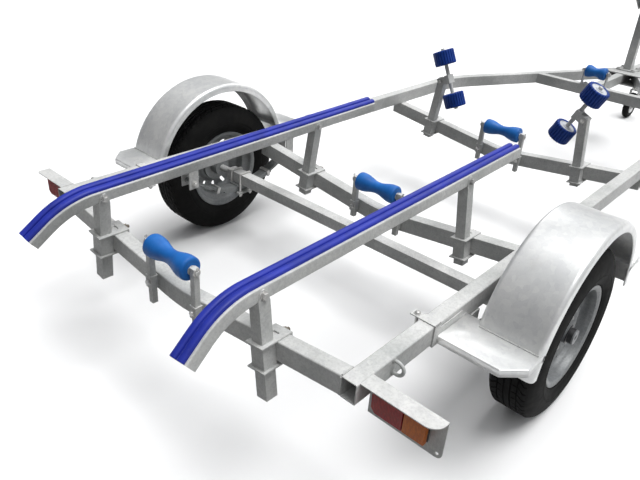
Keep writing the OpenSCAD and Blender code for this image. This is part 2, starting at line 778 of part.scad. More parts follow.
// height of the main leaf above its lowest point
function leaf_z(x) = camber * (x / spring_half) * (x / spring_half);
module leaf(half, down) {
    n = spring_steps;
    rotate([90, 0, 0]) linear_extrude(leaf_w, center = true) polygon(concat(
        [for (i = [-n : n]) [half * i / n, leaf_z(half * i / n) - down]],
        [for (i = [n : -1 : -n]) [half * i / n, leaf_z(half * i / n) - down - leaf_t]]));
}
module leaf_spring() {
    from_tail(axle_x, spring_y, spring_top) difference() {
        union() {
            for (i = [0 : leaves - 1]) leaf(spring_half * (1 - 0.2 * i), i * (leaf_t - 0.5));
            for (s = [-1, 1]) translate([s * spring_half, 0, camber - 6]) bar_y(eye_r, leaf_w);
            translate([0, 0, 4]) block([90, leaf_w + 10, 8]);
        }
        for (s = [-1, 1]) translate([s * spring_half, 0, camber - 6]) bar_y(7, leaf_w + 2);
    }
}
module leaf_springs() { color("dimgray") both_sides() leaf_spring(); }
module spring_hangers() {
    color(zinc) both_sides() for (s = [-1, 1])
        from_tail(axle_x + s * spring_half, spring_y, 0) {
            for (k = [-1, 1]) translate([-24, k * (leaf_w / 2 + 4) - 2.5, eye_z - 30])
                cube([48, 5, rail_bottom - eye_z + 30]);
            translate([0, 0, eye_z - 6]) bar_y(6.8, leaf_w + 30);
            translate([-24, -leaf_w / 2 - 4, rail_bottom - 5]) cube([48, leaf_w + 8, 5]);
        }
}

// wheel: y' is along the axle, with its outer side at +
module at_wheel() { from_tail(axle_x, wheel_y, axle_z) rotate([-90, 0, 0]) children(); }
well_r = rim_r - 44;
disc_y = 22;
slots = 12;
flange_r = 72;
slot_ring = 112;
crown_r = 90;
module rim_barrel() {
    h = rim_w / 2;
    rotate_extrude() polygon([
        [rim_r, -h], [rim_r, -h + 5], [rim_r - 14, -h + 8], [rim_r - 20, -h + 30],
        [well_r + 4, -h + 42], [well_r + 4, h - 62], [rim_r - 20, h - 44], [rim_r - 20, h - 30],
        [rim_r - 14, h - 8], [rim_r, h - 5], [rim_r, h],
        [rim_r - 5, h], [rim_r - 18, h - 6], [rim_r - 24, h - 28], [rim_r - 24, h - 42],
        [well_r, h - 60], [well_r, -h + 40], [rim_r - 24, -h + 28], [rim_r - 18, -h + 6],
        [rim_r - 5, -h]]);
}
module wheel_disc() {
    difference() {
        rotate_extrude() polygon([[hub_r - 8, disc_y - 6], [flange_r, disc_y - 2],
            [crown_r, disc_y + 14], [slot_ring, disc_y + 12], [well_r + 1, disc_y - 14],
            [well_r + 1, disc_y - 20],
            [slot_ring, disc_y + 7], [crown_r, disc_y + 9], [flange_r + 2, disc_y - 7],
            [hub_r - 8, disc_y - 11]]);
        for (i = [0 : slots - 1]) rotate([0, 0, i * 360 / slots])
            translate([slot_ring, 0, 0]) {
                translate([-9, 0, 0]) cylinder(r = 8, h = 90, center = true);
                translate([9, 0, 0]) cylinder(r = 8, h = 90, center = true);
                block([18, 16, 90]);
            }
    }
}
module wheel_hub() {
    difference() {
        union() {
            translate([0, 0, -46]) cylinder(r = hub_r - 8, h = 62);
            translate([0, 0, disc_y - 26]) cylinder(r = flange_r - 2, h = 15.5);
            translate([0, 0, 15]) cylinder(r = 32, h = 36);
            translate([0, 0, 51]) cylinder(r = 26, h = 22);
        }
        translate([0, 0, -50]) cylinder(r = spindle_r + run_gap, h = 104);
    }
}
module wheel() {
    color(zinc) at_wheel() {
        rim_barrel();
        wheel_disc();
        wheel_hub();
    }
}
module tyre() {
    w = tyre_w / 2;
    b = rim_w / 2 - 8.5;
    bead = rim_r - 13;
    color(black) at_wheel() rotate_extrude() polygon([
        [bead, b], [rim_r + 4, b + 2], [rim_r + 18, w - 4], [rim_r + 46, w],
        [rim_r + 74, w - 3], [tyre_r - 24, w - 9], [tyre_r - 10, w - 18], [tyre_r - 3, w - 34],
        [tyre_r, 20], [tyre_r, -20], [tyre_r - 3, -w + 34], [tyre_r - 10, -w + 18],
        [tyre_r - 24, -w + 9], [rim_r + 74, -w + 3], [rim_r + 46, -w], [rim_r + 18, -w + 4],
        [rim_r + 4, -b - 2], [bead, -b], [bead - 3, -b + 14], [rim_r + 6, -b + 8],
        [rim_r + 46, -w + 12], [tyre_r - 26, -w + 24], [tyre_r - 14, 0], [tyre_r - 26, w - 24],
        [rim_r + 46, w - 12], [rim_r + 6, b - 8], [bead - 3, b - 14]]);
}
module left_wheel() { wheel(); }
module right_wheel() { mirrored() wheel(); }
module left_tyre() { tyre(); }
module right_tyre() { mirrored() tyre(); }

// ---------- mudguards ----------
guard_half = sqrt(guard_r * guard_r - (step_z - guard_z) * (step_z - guard_z));
// the arch passes down behind the steps, and stands just inside their skirts
guard_a = asin((step_z - guard_z - guard_tail) / guard_r);
guard_inset = 0.5;
lip = 30;
lip_round = 14;
step_drop = 24;
chamfer = 38;
// cross-section of the arch, x = radius and y = distance from the inner side
module guard_section() {
    w = guard_out - guard_in - 2 * guard_inset;
    t = sheet_t;
    difference() {
        polygon([[guard_r - lip, 0], [guard_r - lip_round, 0], [guard_r - 4, lip_round * 0.3],
            [guard_r, lip_round], [guard_r, w - lip_round], [guard_r - 4, w - lip_round * 0.3],
            [guard_r - lip_round, w], [guard_r - lip, w]]);
        polygon([[guard_r - lip - 1, t], [guard_r - lip_round, t],
            [guard_r - 4 - t * 0.7, lip_round * 0.3 + t * 0.7],
            [guard_r - t, lip_round + t * 0.3], [guard_r - t, w - lip_round - t * 0.3],
            [guard_r - 4 - t * 0.7, w - lip_round * 0.3 - t * 0.7],
            [guard_r - lip_round, w - t], [guard_r - lip - 1, w - t]]);
    }
}
function step_outline(inset) = [
    [guard_half - lip + inset, half_w + seat_gap + inset],
    [guard_half + step_len - inset, half_w + seat_gap + inset],
    [guard_half + step_len - inset, guard_out - chamfer - inset * 0.4],
    [guard_half + step_len - chamfer - inset * 0.4, guard_out - inset],
    [guard_half - lip + inset, guard_out - inset]];
module guard_step() {
    // flat step with a skirt on its open sides and an upturned edge at the rail
    difference() {
        union() {
            translate([0, 0, step_z - step_drop]) linear_extrude(step_drop)
                polygon(step_outline(0));
            translate([guard_half, half_w + seat_gap, step_z - 1])
                cube([step_len, sheet_t, 24]);
        }
        translate([0, 0, step_z - step_drop - 1]) linear_extrude(step_drop + 1 - sheet_t)
            polygon(step_outline(sheet_t));
        translate([guard_half - lip - 5, guard_in + sheet_t, step_z - step_drop - 1])
            cube([lip + 2, guard_out - guard_in - 2 * sheet_t, step_drop + 5]);
    }
}
module mudguard() {
    color("lightgray") from_tail(guard_x) {
        translate([0, guard_in + guard_inset, guard_z]) rotate([90, 0, 0]) mirror([0, 0, 1])
            rotate([0, 0, guard_a]) rotate_extrude(angle = 180 - 2 * guard_a, $fn = 96)
                guard_section();
        guard_step();
        mirror([1, 0, 0]) guard_step();
    }
}
module left_mudguard() { mudguard(); }
module right_mudguard() { mirrored() mudguard(); }

// ---------- lamps and tie-down loops ----------
bracket_x = 12;
bracket_w = 50;
bracket_t = 3;
plate_x = bracket_x + bracket_w - bracket_t;
// flange length, plate length and plate depth; the right bracket is the longer one
left_bracket = [183, 160, 94];
right_bracket = [219, 219, 122];
left_flange_round = 13;
right_flange_round = 38;
plate_round = 18;
plate_hole_r = 4.5;
plate_hole_in = 14;
// a rectangle with one round corner, at the start of w and the end of l
module one_round(w, l, r) {
    difference() {
        square([w, l]);
        translate([-1, l - r]) difference() {
            square([r + 1, r + 1]);
            translate([r + 1, 0]) circle(r = r);
        }
    }
}
// a flange that reaches back over the lamp, and a plate down from its front edge
module lamp_bracket(sizes, flange_round, hole) {
    from_tail(0, half_w, 0) difference() {
        union() {
            translate([bracket_x, 0, rail_top - bracket_t]) linear_extrude(bracket_t)
                one_round(bracket_w, sizes[0], flange_round);
            translate([plate_x + bracket_t, 0, rail_top - sizes[2]]) rotate([0, -90, 0])
                linear_extrude(bracket_t) one_round(sizes[2], sizes[1], plate_round);
        }
        if (hole)
            translate([plate_x, sizes[1] - plate_hole_in, rail_top - sizes[2] + plate_hole_in])
                bar_x(plate_hole_r, 20);
    }
}
module lamp_brackets() {
    color(zinc) {
        lamp_bracket(left_bracket, left_flange_round, false);
        mirrored() lamp_bracket(right_bracket, right_flange_round, true);
    }
}
lamp_depth = 26;
lamp_wall = 3;
lamp_cut = 14;
lamp_under = 10;
// from the rail to the near end of the left and the right lamp
left_lamp_in = 3;
right_lamp_in = 20;
function lamp_outline(inset) = [
    [inset, inset], [lamp_len - lamp_cut - inset * 0.4, inset],
    [lamp_len - inset, lamp_cut + inset * 0.4], [lamp_len - inset, lamp_h - inset],
    [inset, lamp_h - inset]];
// both lamps are the same way round: the lower left corner is cut off
module tail_lamp() {
    rotate([90, 0, 90]) difference() {
        linear_extrude(lamp_depth) polygon(lamp_outline(0));
        translate([0, 0, 8]) linear_extrude(lamp_depth) polygon(lamp_outline(lamp_wall));
    }
}
module tail_lamps() {
    color("firebrick") for (y = [half_w + left_lamp_in, -half_w - right_lamp_in - lamp_len])
        from_tail(plate_x - lamp_depth, y, rail_top - lamp_under - lamp_h) tail_lamp();
}
loop_x = 150;
loop_z = rail_bottom + 36;
loop_reach = 12;
loop_r = 20;
rod_r = 5;
module tie_loops() {
    color(zinc) both_sides() from_tail(loop_x, half_w, loop_z) rotate([0, 90, 0]) {
        translate([0, loop_reach, 0]) rotate_extrude(angle = 180) translate([loop_r, 0])
            circle(r = rod_r);
        for (s = [-1, 1])
            translate([s * loop_r, loop_reach / 2, 0]) bar_y(rod_r, loop_reach);
    }
}

left_side_rail();
right_side_rail();
rear_cross_member();
middle_cross_member();
front_cross_member();
nose_cross_member();
drawbar();
nose_plates();
coupling();
coupling_lever();
chain_lug();
winch_post();
winch_frame();
winch_drum();
winch_handle();
bow_stop_arms();
bow_roller();
jockey_bracket();
jockey_tube();
jockey_crank();
jockey_leg();
jockey_fork();
jockey_wheel();
left_skid();
right_skid();
left_skid_pad();
right_skid_pad();
skid_posts();
wobble_posts();
post_clamps();
left_wobble_arm();
right_wobble_arm();
left_upper_roller();
left_lower_roller();
right_upper_roller();
right_lower_roller();
keel_sockets();
keel_brackets();
nose_roller_bracket();
rear_keel_roller();
middle_keel_roller();
front_keel_roller();
nose_roller();
axle_beam();
leaf_springs();
spring_hangers();
left_wheel();
right_wheel();
left_tyre();
right_tyre();
left_mudguard();
right_mudguard();
lamp_brackets();
tail_lamps();
tie_loops();
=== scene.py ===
"""Boat trailer: finish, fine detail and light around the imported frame.

Metres, in the row frame: +X is forwards, +Y is left, +Z is up. Places come from the CAD
nodes' boxes and the record's joints wherever they can."""
import json
import math
import random
import bpy
import bmesh
from mathutils import Matrix, Vector


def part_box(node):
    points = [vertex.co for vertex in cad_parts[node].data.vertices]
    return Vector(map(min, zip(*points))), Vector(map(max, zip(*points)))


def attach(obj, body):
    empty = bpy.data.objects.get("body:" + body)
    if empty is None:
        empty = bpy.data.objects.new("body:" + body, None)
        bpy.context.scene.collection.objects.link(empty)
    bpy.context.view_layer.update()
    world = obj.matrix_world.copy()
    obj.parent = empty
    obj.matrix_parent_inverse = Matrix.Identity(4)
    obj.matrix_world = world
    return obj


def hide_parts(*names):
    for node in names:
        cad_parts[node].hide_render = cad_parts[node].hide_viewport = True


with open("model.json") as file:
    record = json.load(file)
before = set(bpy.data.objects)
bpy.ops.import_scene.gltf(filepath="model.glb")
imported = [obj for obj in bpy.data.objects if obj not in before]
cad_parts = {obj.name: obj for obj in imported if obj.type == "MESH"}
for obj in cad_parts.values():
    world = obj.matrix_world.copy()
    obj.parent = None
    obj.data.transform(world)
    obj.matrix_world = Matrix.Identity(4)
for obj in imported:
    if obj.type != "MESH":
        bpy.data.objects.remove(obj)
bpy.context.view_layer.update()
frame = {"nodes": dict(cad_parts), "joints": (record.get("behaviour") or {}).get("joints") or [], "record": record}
rng = random.Random(7)
MM = 0.001

# ---------- sizes shared with the part ----------
DIP = math.radians(7.2)              # slope of the dipped cross members and of the skids
SKID_SLOPE = math.radians(1.0)       # rise of the skids towards the front
CROSS_W = 50 * MM                    # width of the cross members
RAIL_H = 65 * MM
STEM_SIDE = 40 * MM                  # square posts
EAR = 5 * MM                         # thickness of a skid's ears
WOBBLE_TILT = math.radians(63.8)     # of the wobble rollers' spindles
GUARD_R = 375 * MM                   # the arch's crown, and the height of its centre
GUARD_Z = 346 * MM
GUARD_LIP = 30 * MM                  # depth of its sides
GUARD_IN = 765 * MM                  # inner side of the arch, from the centreline
STEP_Z = 458 * MM                    # top of the mudguards' flat steps
GUARD_TAIL = 86 * MM                 # how far the arch goes down below them
SHEET = 3 * MM                       # the mudguards' metal
TYRE_W = 165 * MM
RIM_R = 183 * MM
KEEL_PIN_R = 8 * MM
SPINDLE_R = 10 * MM
SIDES = {"left": Matrix.Identity(4), "right": Matrix.Diagonal((1, -1, 1, 1))}
X_AXIS = Vector((1, 0, 0))
Y_AXIS = Vector((0, 1, 0))
Z_AXIS = Vector((0, 0, 1))
SPIN_STEPS = 64


def mm(*points):
    """Points given in millimetres."""
    return [tuple(value * MM for value in point) for point in points]


def node_box(name):
    low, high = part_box(name)
    return Vector(low), Vector(high)


def joint_at(name):
    return Vector(next(j for j in frame["joints"] if j["name"] == name)["pos_m"])


tail_x = node_box("rear_cross_member")[0].x
rail_in = node_box("rear_cross_member")[1].y
rail_top = node_box("left_side_rail")[1].z
rail_bottom = node_box("left_side_rail")[0].z
half_w = node_box("left_side_rail")[1].y
guard_low, guard_high = node_box("left_mudguard")
guard_mid = (guard_low.x + guard_high.x) / 2
guard_reach = (guard_high.x - guard_low.x) / 2
arch_half = math.sqrt(GUARD_R ** 2 - (STEP_Z - GUARD_Z) ** 2)   # of the arch, at the steps' height
MIDDLE_AT = 1012 * MM                # rear faces of the members, ahead of the rear one's
FRONT_AT = 2070 * MM
stations = {"rear": (tail_x, rail_top), "middle": (tail_x + MIDDLE_AT, rail_bottom),
            "front": (tail_x + FRONT_AT, rail_bottom)}


# fasteners and welds that are gathered into one piece each
bolts = bmesh.new()
old_bolts = bmesh.new()
welds = bmesh.new()


# ---------- mesh helpers ----------
def shift(x=0.0, y=0.0, z=0.0):
    return Matrix.Translation((x, y, z))


def aim(at, axis):
    """A frame at a point, with its z along an axis."""
    return Matrix.Translation(at) @ Vector(axis).to_track_quat("Z", "Y").to_matrix().to_4x4()


def skin(bm, rings, wrap_rings, wrap_points, capped=False):
    """Faces between neighbouring rings of points, with the two end rings filled if capped."""
    count = len(rings[0])
    for i in range(len(rings) if wrap_rings else len(rings) - 1):
        a, b = rings[i], rings[(i + 1) % len(rings)]
        for k in range(count if wrap_points else count - 1):
            m = (k + 1) % count
            bm.faces.new((a[k], a[m], b[m], b[k]))
    if capped:
        bm.faces.new(rings[0])
        bm.faces.new(rings[-1])


def lathe(bm, profile, place, steps=SPIN_STEPS, arc=None, closed=False, shape=None):
    """Spins (radius, height) points about the place's z. shape(turn, radius, height) may
    change a point's radius. An arc with a closed profile gets end caps."""
    start, end = arc or (0, math.tau)
    count = steps + 1 if arc else steps
    rings = []
    for i in range(count):
        turn = start + (end - start) * i / steps
        ring = []
        for radius, height in profile:
            r = shape(turn, radius, height) if shape else radius
            ring.append(bm.verts.new(place @ Vector((r * math.cos(turn), r * math.sin(turn), height))))
        rings.append(ring)
    skin(bm, rings, not arc, closed, arc and closed)


def round_edges(bm, edges, width, segments=2):
    bmesh.ops.bevel(bm, geom=list(edges), offset=width, segments=segments, profile=0.5,
                    affect="EDGES", clamp_overlap=True)


def prism(bm, outline, low, high, place, bevel=0.0):
    """A flat outline in the place's x and y, from height low to high."""
    floor_ring = [bm.verts.new(place @ Vector((x, y, low))) for x, y in outline]
    roof_ring = [bm.verts.new(place @ Vector((x, y, high))) for x, y in outline]
    faces = [bm.faces.new(floor_ring), bm.faces.new(roof_ring)]
    skin(bm, [floor_ring, roof_ring], False, True)
    if bevel:
        round_edges(bm, {e for f in faces for e in f.edges}, bevel)


def block(bm, low, high, place, bevel):
    """A block between two corners, with rounded edges."""
    low, high = Vector(low), Vector(high)
    size = Matrix.Diagonal((*(high - low), 1))
    made = bmesh.ops.create_cube(bm, size=1, matrix=place @ Matrix.Translation((low + high) / 2) @ size)
    round_edges(bm, {e for v in made["verts"] for e in v.link_edges}, bevel)


def rod(bm, path, radius, sides=12, closed=False, wobble=0.0):
    """A round rod along a path of points; wobble makes its thickness uneven."""
    points = [Vector(p) for p in path]
    count = len(points)
    rings = []
    side = None
    for i, point in enumerate(points):
        before = points[i - 1] if closed or i else point
        after = points[(i + 1) % count] if closed or i < count - 1 else point
        along = (after - before).normalized()
        if side is None:
            side = along.orthogonal().normalized()
        side = (side - along * side.dot(along)).normalized()
        other = along.cross(side)
        r = radius * (1 + wobble * rng.uniform(-1, 1))
        rings.append([bm.verts.new(point + (side * math.cos(a) + other * math.sin(a)) * r)
                      for a in (math.tau * k / sides for k in range(sides))])
    skin(bm, rings, closed, True, not closed)


def bend(centre, radius, start, end, steps, u, v):
    """Points of an arc about a centre in the plane of two directions."""
    return [centre + (u * math.cos(a) + v * math.sin(a)) * radius
            for a in (start + (end - start) * i / steps for i in range(steps + 1))]


WASHER = 1.6 * MM
RIPPLE = 3.5 * MM                    # length of one ripple of a weld
BEAD = 3.2 * MM                      # half the width of a weld
THIN_BEAD = 2.6 * MM


def hex_head(bm, place, across, height, low=0.0):
    """A hexagon with a chamfered top."""
    r = across / math.sqrt(3)
    lathe(bm, [(0, low), (r, low), (r, low + height * 0.82), (r * 0.88, low + height),
               (0, low + height)], place, steps=6)


def washer(bm, place, radius, thick=WASHER):
    lathe(bm, [(0, 0), (radius, 0), (radius, thick * 0.7), (radius - 0.4 * MM, thick), (0, thick)],
          place, steps=28)


def thread(bm, place, radius, low, high, pitch=1.5 * MM):
    """A threaded rod's end, as a stack of ridges."""
    profile = [(0, low)]
    z = low
    while z < high - pitch:
        profile += [(radius * 0.86, z), (radius, z + pitch / 2)]
        z += pitch
    profile += [(radius * 0.8, high), (0, high)]
    lathe(bm, profile, place, steps=16)


def bolt_head(bm, place, size):
    """Washer and hexagon head of a bolt of that thread size, on a face at the place's z = 0."""
    washer(bm, place, size * 1.15)
    hex_head(bm, place, size * 1.6, size * 0.65, WASHER)


def nut(bm, place, size, stub):
    """Washer, nut and a stub of the bolt's thread past it."""
    washer(bm, place, size * 1.15)
    hex_head(bm, place, size * 1.6, size * 0.8, WASHER)
    thread(bm, place, size / 2, size * 0.4, size * 0.8 + stub)


def weld(start, end, radius=BEAD, place=Matrix.Identity(4)):
    """A weld bead between two of a place's points, a chain of uneven ripples."""
    start = place @ Vector(start)
    end = place @ Vector(end)
    count = max(3, int((end - start).length / RIPPLE))
    rod(welds, [start.lerp(end, i / count) for i in range(count + 1)], radius, 7, wobble=0.22)


def weld_ring(place, radius, bead):
    """A weld bead round a rod, on the face that it comes out of."""
    count = max(12, int(math.tau * radius / RIPPLE))
    points = [place @ Vector((radius * math.cos(a), radius * math.sin(a), 0))
              for a in (math.tau * k / count for k in range(count))]
    rod(welds, points, bead, 7, closed=True, wobble=0.2)


def add_object(name, data):
    thing = bpy.data.objects.new(name, data)
    bpy.context.scene.collection.objects.link(thing)
    return thing


def piece(name, bm, surface, body, replaces=(), crease=35):
    """Makes an object of a bmesh, which rides on a CAD body."""
    bmesh.ops.remove_doubles(bm, verts=bm.verts, dist=1e-6)
    bmesh.ops.recalc_face_normals(bm, faces=bm.faces)
    mesh = bpy.data.meshes.new(name)
    bm.to_mesh(mesh)
    bm.free()
    mesh.shade_smooth()
    mesh.set_sharp_from_angle(angle=math.radians(crease))
    mesh.materials.append(surface)
    thing = add_object(name, mesh)
    normals = thing.modifiers.new("even_shading", "WEIGHTED_NORMAL")
    normals.keep_sharp = True
    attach(thing, body)
    if replaces:
        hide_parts(*replaces)
    return thing


def body_with(node):
    """The CAD body that carries a node."""
    bodies = frame["record"]["behaviour"]["bodies"]
    return next(name for name, nodes in bodies.items() if node in nodes)


def soften(node, surface, width=0.8 * MM, segments=2, pick=None):
    """A finished copy of a CAD node with its outer edges rounded, in the node's place."""
    source = frame["nodes"][node]
    bm = bmesh.new()
    bm.from_mesh(source.data)
    bm.transform(source.matrix_world)
    bmesh.ops.remove_doubles(bm, verts=bm.verts, dist=1e-6)
    bmesh.ops.dissolve_limit(bm, angle_limit=math.radians(0.4), verts=bm.verts, edges=bm.edges)
    corner = math.radians(50)
    edges = [e for e in bm.edges if e.is_manifold and e.is_convex and e.calc_face_angle(0) > corner
             and (pick is None or pick(e))]
    round_edges(bm, edges, width, segments)
    return piece(node + "_finished", bm, surface, body_with(node), (node,), 40)


def along(axis):
    """Picks the edges of a tube that run between its cut ends, which face an axis."""
    return lambda edge: all(abs(f.normal[axis]) < 0.7 for f in edge.link_faces)


# ---------- surfaces ----------
def add_node(tree, kind, **inputs):
    """A shader node whose inputs are set to constants or linked to other nodes' outputs."""
    node = tree.nodes.new("ShaderNode" + kind)
    for name, value in inputs.items():
        socket = node.inputs[name.replace("_", " ")]
        if isinstance(value, bpy.types.NodeSocket):
            tree.links.new(value, socket)
        else:
            socket.default_value = value
    return node


def add_mix(tree, factor, a, b, kind="MIX"):
    """Mixes or multiplies two colours, each a constant or another node's output."""
    node = add_node(tree, "Mix")
    node.data_type = "RGBA"
    node.blend_type = kind
    sockets = {s.identifier: s for s in node.inputs}
    for key, value in (("Factor_Float", factor), ("A_Color", a), ("B_Color", b)):
        if isinstance(value, bpy.types.NodeSocket):
            tree.links.new(value, sockets[key])
        else:
            sockets[key].default_value = value if key == "Factor_Float" else (*value, 1)
    return next(s for s in node.outputs if s.identifier == "Result_Color")


class Surface:
    """A procedural material: layers of noise drive its colour, roughness and relief."""

    def __init__(self, name, **constants):
        self.material = bpy.data.materials.new(name)
        self.material.use_nodes = True
        self.tree = self.material.node_tree
        self.shader = self.tree.nodes["Principled BSDF"]
        for socket, value in constants.items():
            self.shader.inputs[socket.replace("_", " ")].default_value = value
        self.where = add_node(self.tree, "TexCoord").outputs["Object"]

    def noise(self, scale, detail=4.0, rough=0.55, stretch=(1, 1, 1)):
        where = add_node(self.tree, "Mapping", Scale=stretch, Vector=self.where).outputs["Vector"]
        return add_node(self.tree, "TexNoise", Scale=scale, Detail=detail, Roughness=rough,
                        Vector=where).outputs["Fac"]

    def cells(self, scale):
        """A random value for each cell, as the grains of a zinc coat."""
        return add_node(self.tree, "TexVoronoi", Scale=scale, Vector=self.where).outputs["Color"]

    def ramp(self, source, *stops):
        """Colours by value: stops are (place, (red, green, blue))."""
        node = add_node(self.tree, "ValToRGB", Fac=source)
        for end, (place, colour) in zip(node.color_ramp.elements, stops):
            end.position = place
            end.color = (*colour, 1)
        return node.outputs["Color"]

    def level(self, source, low, high, out_low, out_high):
        return add_node(self.tree, "MapRange", From_Min=low, From_Max=high, To_Min=out_low,
                        To_Max=out_high, Value=source).outputs["Result"]

    def mix(self, factor, a, b, kind="MIX"):
        return add_mix(self.tree, factor, a, b, kind)

    def finish(self, colour, rough, relief, depth, strength):
        """Links the layers to the shader; relief becomes a bump of that depth."""
        links = self.tree.links
        links.new(colour, self.shader.inputs["Base Color"])
        if rough is not None:
            links.new(rough, self.shader.inputs["Roughness"])
        bump = add_node(self.tree, "Bump", Strength=strength, Distance=depth, Height=relief)
        links.new(bump.outputs["Normal"], self.shader.inputs["Normal"])
        return self.material


def zinc_surface(name, dark, light, grain=90, metal=0.04, smooth=0.0, fleck=0.45):
    """Hot-dip galvanised steel: fine grains of zinc, faint clouds and a few dull runs."""
    s = Surface(name, Metallic=metal, Specular_IOR_Level=0.15)
    clouds = s.noise(5, 4, 0.5)
    specks = s.noise(150, 4, 0.6)
    runs = s.noise(13, 4, 0.6, (0.3, 1, 1))
    base = s.ramp(clouds, (0.34, dark), (0.66, light))
    grains = s.ramp(s.cells(grain), (0.0, (0.90, 0.90, 0.91)), (1.0, (1.04, 1.04, 1.03)))
    coat = s.mix(1.0, base, grains, "MULTIPLY")
    dull = s.ramp(specks, (0.36, (0.72, 0.72, 0.71)), (0.56, (1, 1, 1)))
    coat = s.mix(fleck, coat, dull, "MULTIPLY")
    stains = s.ramp(runs, (0.62, (1, 1, 1)), (0.78, (0.70, 0.67, 0.62)))
    coat = s.mix(0.4, coat, stains, "MULTIPLY")
    rough = s.level(specks, 0.3, 0.7, 0.46 - smooth, 0.34 - smooth * 0.6)
    return s.finish(coat, rough, s.noise(170, 4, 0.6), 0.35 * MM, 0.3)


def blue_surface(name, deep, bright, rough):
    """Blue moulded polymer with paler scuffs."""
    s = Surface(name, Specular_IOR_Level=0.3)
    tone = s.ramp(s.noise(14, 4), (0.3, deep), (0.7, bright))
    scuffs = s.noise(60, 6, 0.7, (0.25, 1, 1))
    worn = tuple(min(1, c * 0.7 + 0.06) for c in bright)
    tone = s.mix(s.level(scuffs, 0.60, 0.74, 0, 0.45), tone, worn)
    shine = s.level(scuffs, 0.4, 0.75, rough, rough + 0.22)
    return s.finish(tone, shine, s.noise(260, 3), 0.15 * MM, 0.25)


def rubber_surface(name, tone, dust, rough=0.78):
    """Black rubber with dust in its grain."""
    s = Surface(name, Specular_IOR_Level=0.15)
    dirt = s.level(s.noise(11, 6, 0.65), 0.45, 0.72, 0.0, 0.55)
    return s.finish(s.mix(dirt, tone, dust), s.level(s.noise(40, 4), 0.3, 0.7, rough, rough + 0.12),
                    s.noise(320, 3), 0.2 * MM, 0.4)


def paint_surface(name, tone, rough):
    """Brushed-on or sprayed paint with a little orange peel and dust."""
    s = Surface(name, Coat_Weight=0.2, Coat_Roughness=0.3)
    grime = s.level(s.noise(24, 6, 0.6), 0.5, 0.8, 0.0, 0.4)
    dusty = tuple(c * 0.7 + 0.09 for c in tone)
    return s.finish(s.mix(grime, tone, dusty), s.level(s.noise(50, 3), 0.3, 0.7, rough, rough + 0.15),
                    s.noise(420, 2), 0.1 * MM, 0.3)


def lens_surface(name, deep, bright):
    """A tinted lamp lens: glossy, with painted glints and painted shade of the reflector's prism rows behind it in
    its tint.
    """
    s = Surface(name, Coat_Weight=0.1, Coat_Roughness=0.15, Roughness=0.35, Specular_IOR_Level=0.2)
    # the reflector's prism rows behind the lens, as painted glints and painted shade between the deep and bright
    # tints
    prism_glints = s.noise(240, 1, 0.3, (1, 1, 0.4))
    return s.finish(s.ramp(prism_glints, (0.3, deep), (0.7, bright)), None, s.noise(180, 1), 0.3 * MM, 0.2)


zinc = zinc_surface("galvanised", (0.49, 0.50, 0.49), (0.68, 0.68, 0.67))
sheet_zinc = zinc_surface("galvanised_sheet", (0.72, 0.73, 0.73), (0.90, 0.90, 0.89), 60, 0.5, 0.10, 0.1)
# a darker copy of the galvanised coat for the wheels: painted shade of the wheels under the mudguards
shaded_wheel_zinc = zinc_surface("galvanised_wheel_shaded", (0.22, 0.23, 0.24), (0.36, 0.37, 0.37), 110, 0.15)
rough_zinc = zinc_surface("galvanised_weld", (0.40, 0.41, 0.40), (0.58, 0.58, 0.57), 160, 0.05)
bright_zinc = zinc_surface("zinc_plate", (0.42, 0.42, 0.42), (0.66, 0.65, 0.63), 160, 0.5, 0.12)
spring_steel = zinc_surface("spring_steel", (0.14, 0.15, 0.15), (0.26, 0.27, 0.27), 80, 0.3)
brown_zinc = zinc_surface("weathered_bolt", (0.18, 0.15, 0.12), (0.42, 0.38, 0.33), 200, 0.5)
pad_blue = blue_surface("pad_blue", (0.014, 0.026, 0.27), (0.022, 0.038, 0.40), 0.42)
roller_blue = blue_surface("roller_blue", (0.008, 0.110, 0.40), (0.016, 0.165, 0.54), 0.40)
rib_blue = blue_surface("rib_blue", (0.004, 0.034, 0.21), (0.009, 0.055, 0.33), 0.42)
pale_hub = blue_surface("pale_hub", (0.52, 0.54, 0.58), (0.70, 0.72, 0.75), 0.45)
tyre_rubber = rubber_surface("tyre_rubber", (0.009, 0.009, 0.009), (0.022, 0.021, 0.019))
soft_rubber = rubber_surface("wheel_rubber", (0.016, 0.016, 0.017), (0.070, 0.066, 0.060), 0.7)
black_paint = paint_surface("black_paint", (0.020, 0.020, 0.022), 0.38)
red_lens = lens_surface("red_lens", (0.26, 0.009, 0.009), (0.38, 0.014, 0.012))
amber_lens = lens_surface("amber_lens", (0.52, 0.12, 0.006), (0.66, 0.17, 0.008))

# ---------- camera ----------
# solved from the trailer's own straight edges; angles in degrees
CAMERA_AT = (-3.2632, -1.3462, 1.5241)
CAMERA_AZIMUTH = 40.50
CAMERA_PITCH = -29.84
CAMERA_ROLL = 4.13
CAMERA_LENS = 35.09
camera_data = bpy.data.cameras.new("camera")
camera_data.lens = CAMERA_LENS
camera_data.sensor_width = 36
camera = add_object("camera", camera_data)
camera.matrix_world = (Matrix.Translation(CAMERA_AT)
                       @ Matrix.Rotation(math.radians(CAMERA_AZIMUTH - 90), 4, "Z")
                       @ Matrix.Rotation(math.radians(90 + CAMERA_PITCH), 4, "X")
                       @ Matrix.Rotation(math.radians(CAMERA_ROLL), 4, "Z"))
bpy.context.scene.camera = camera

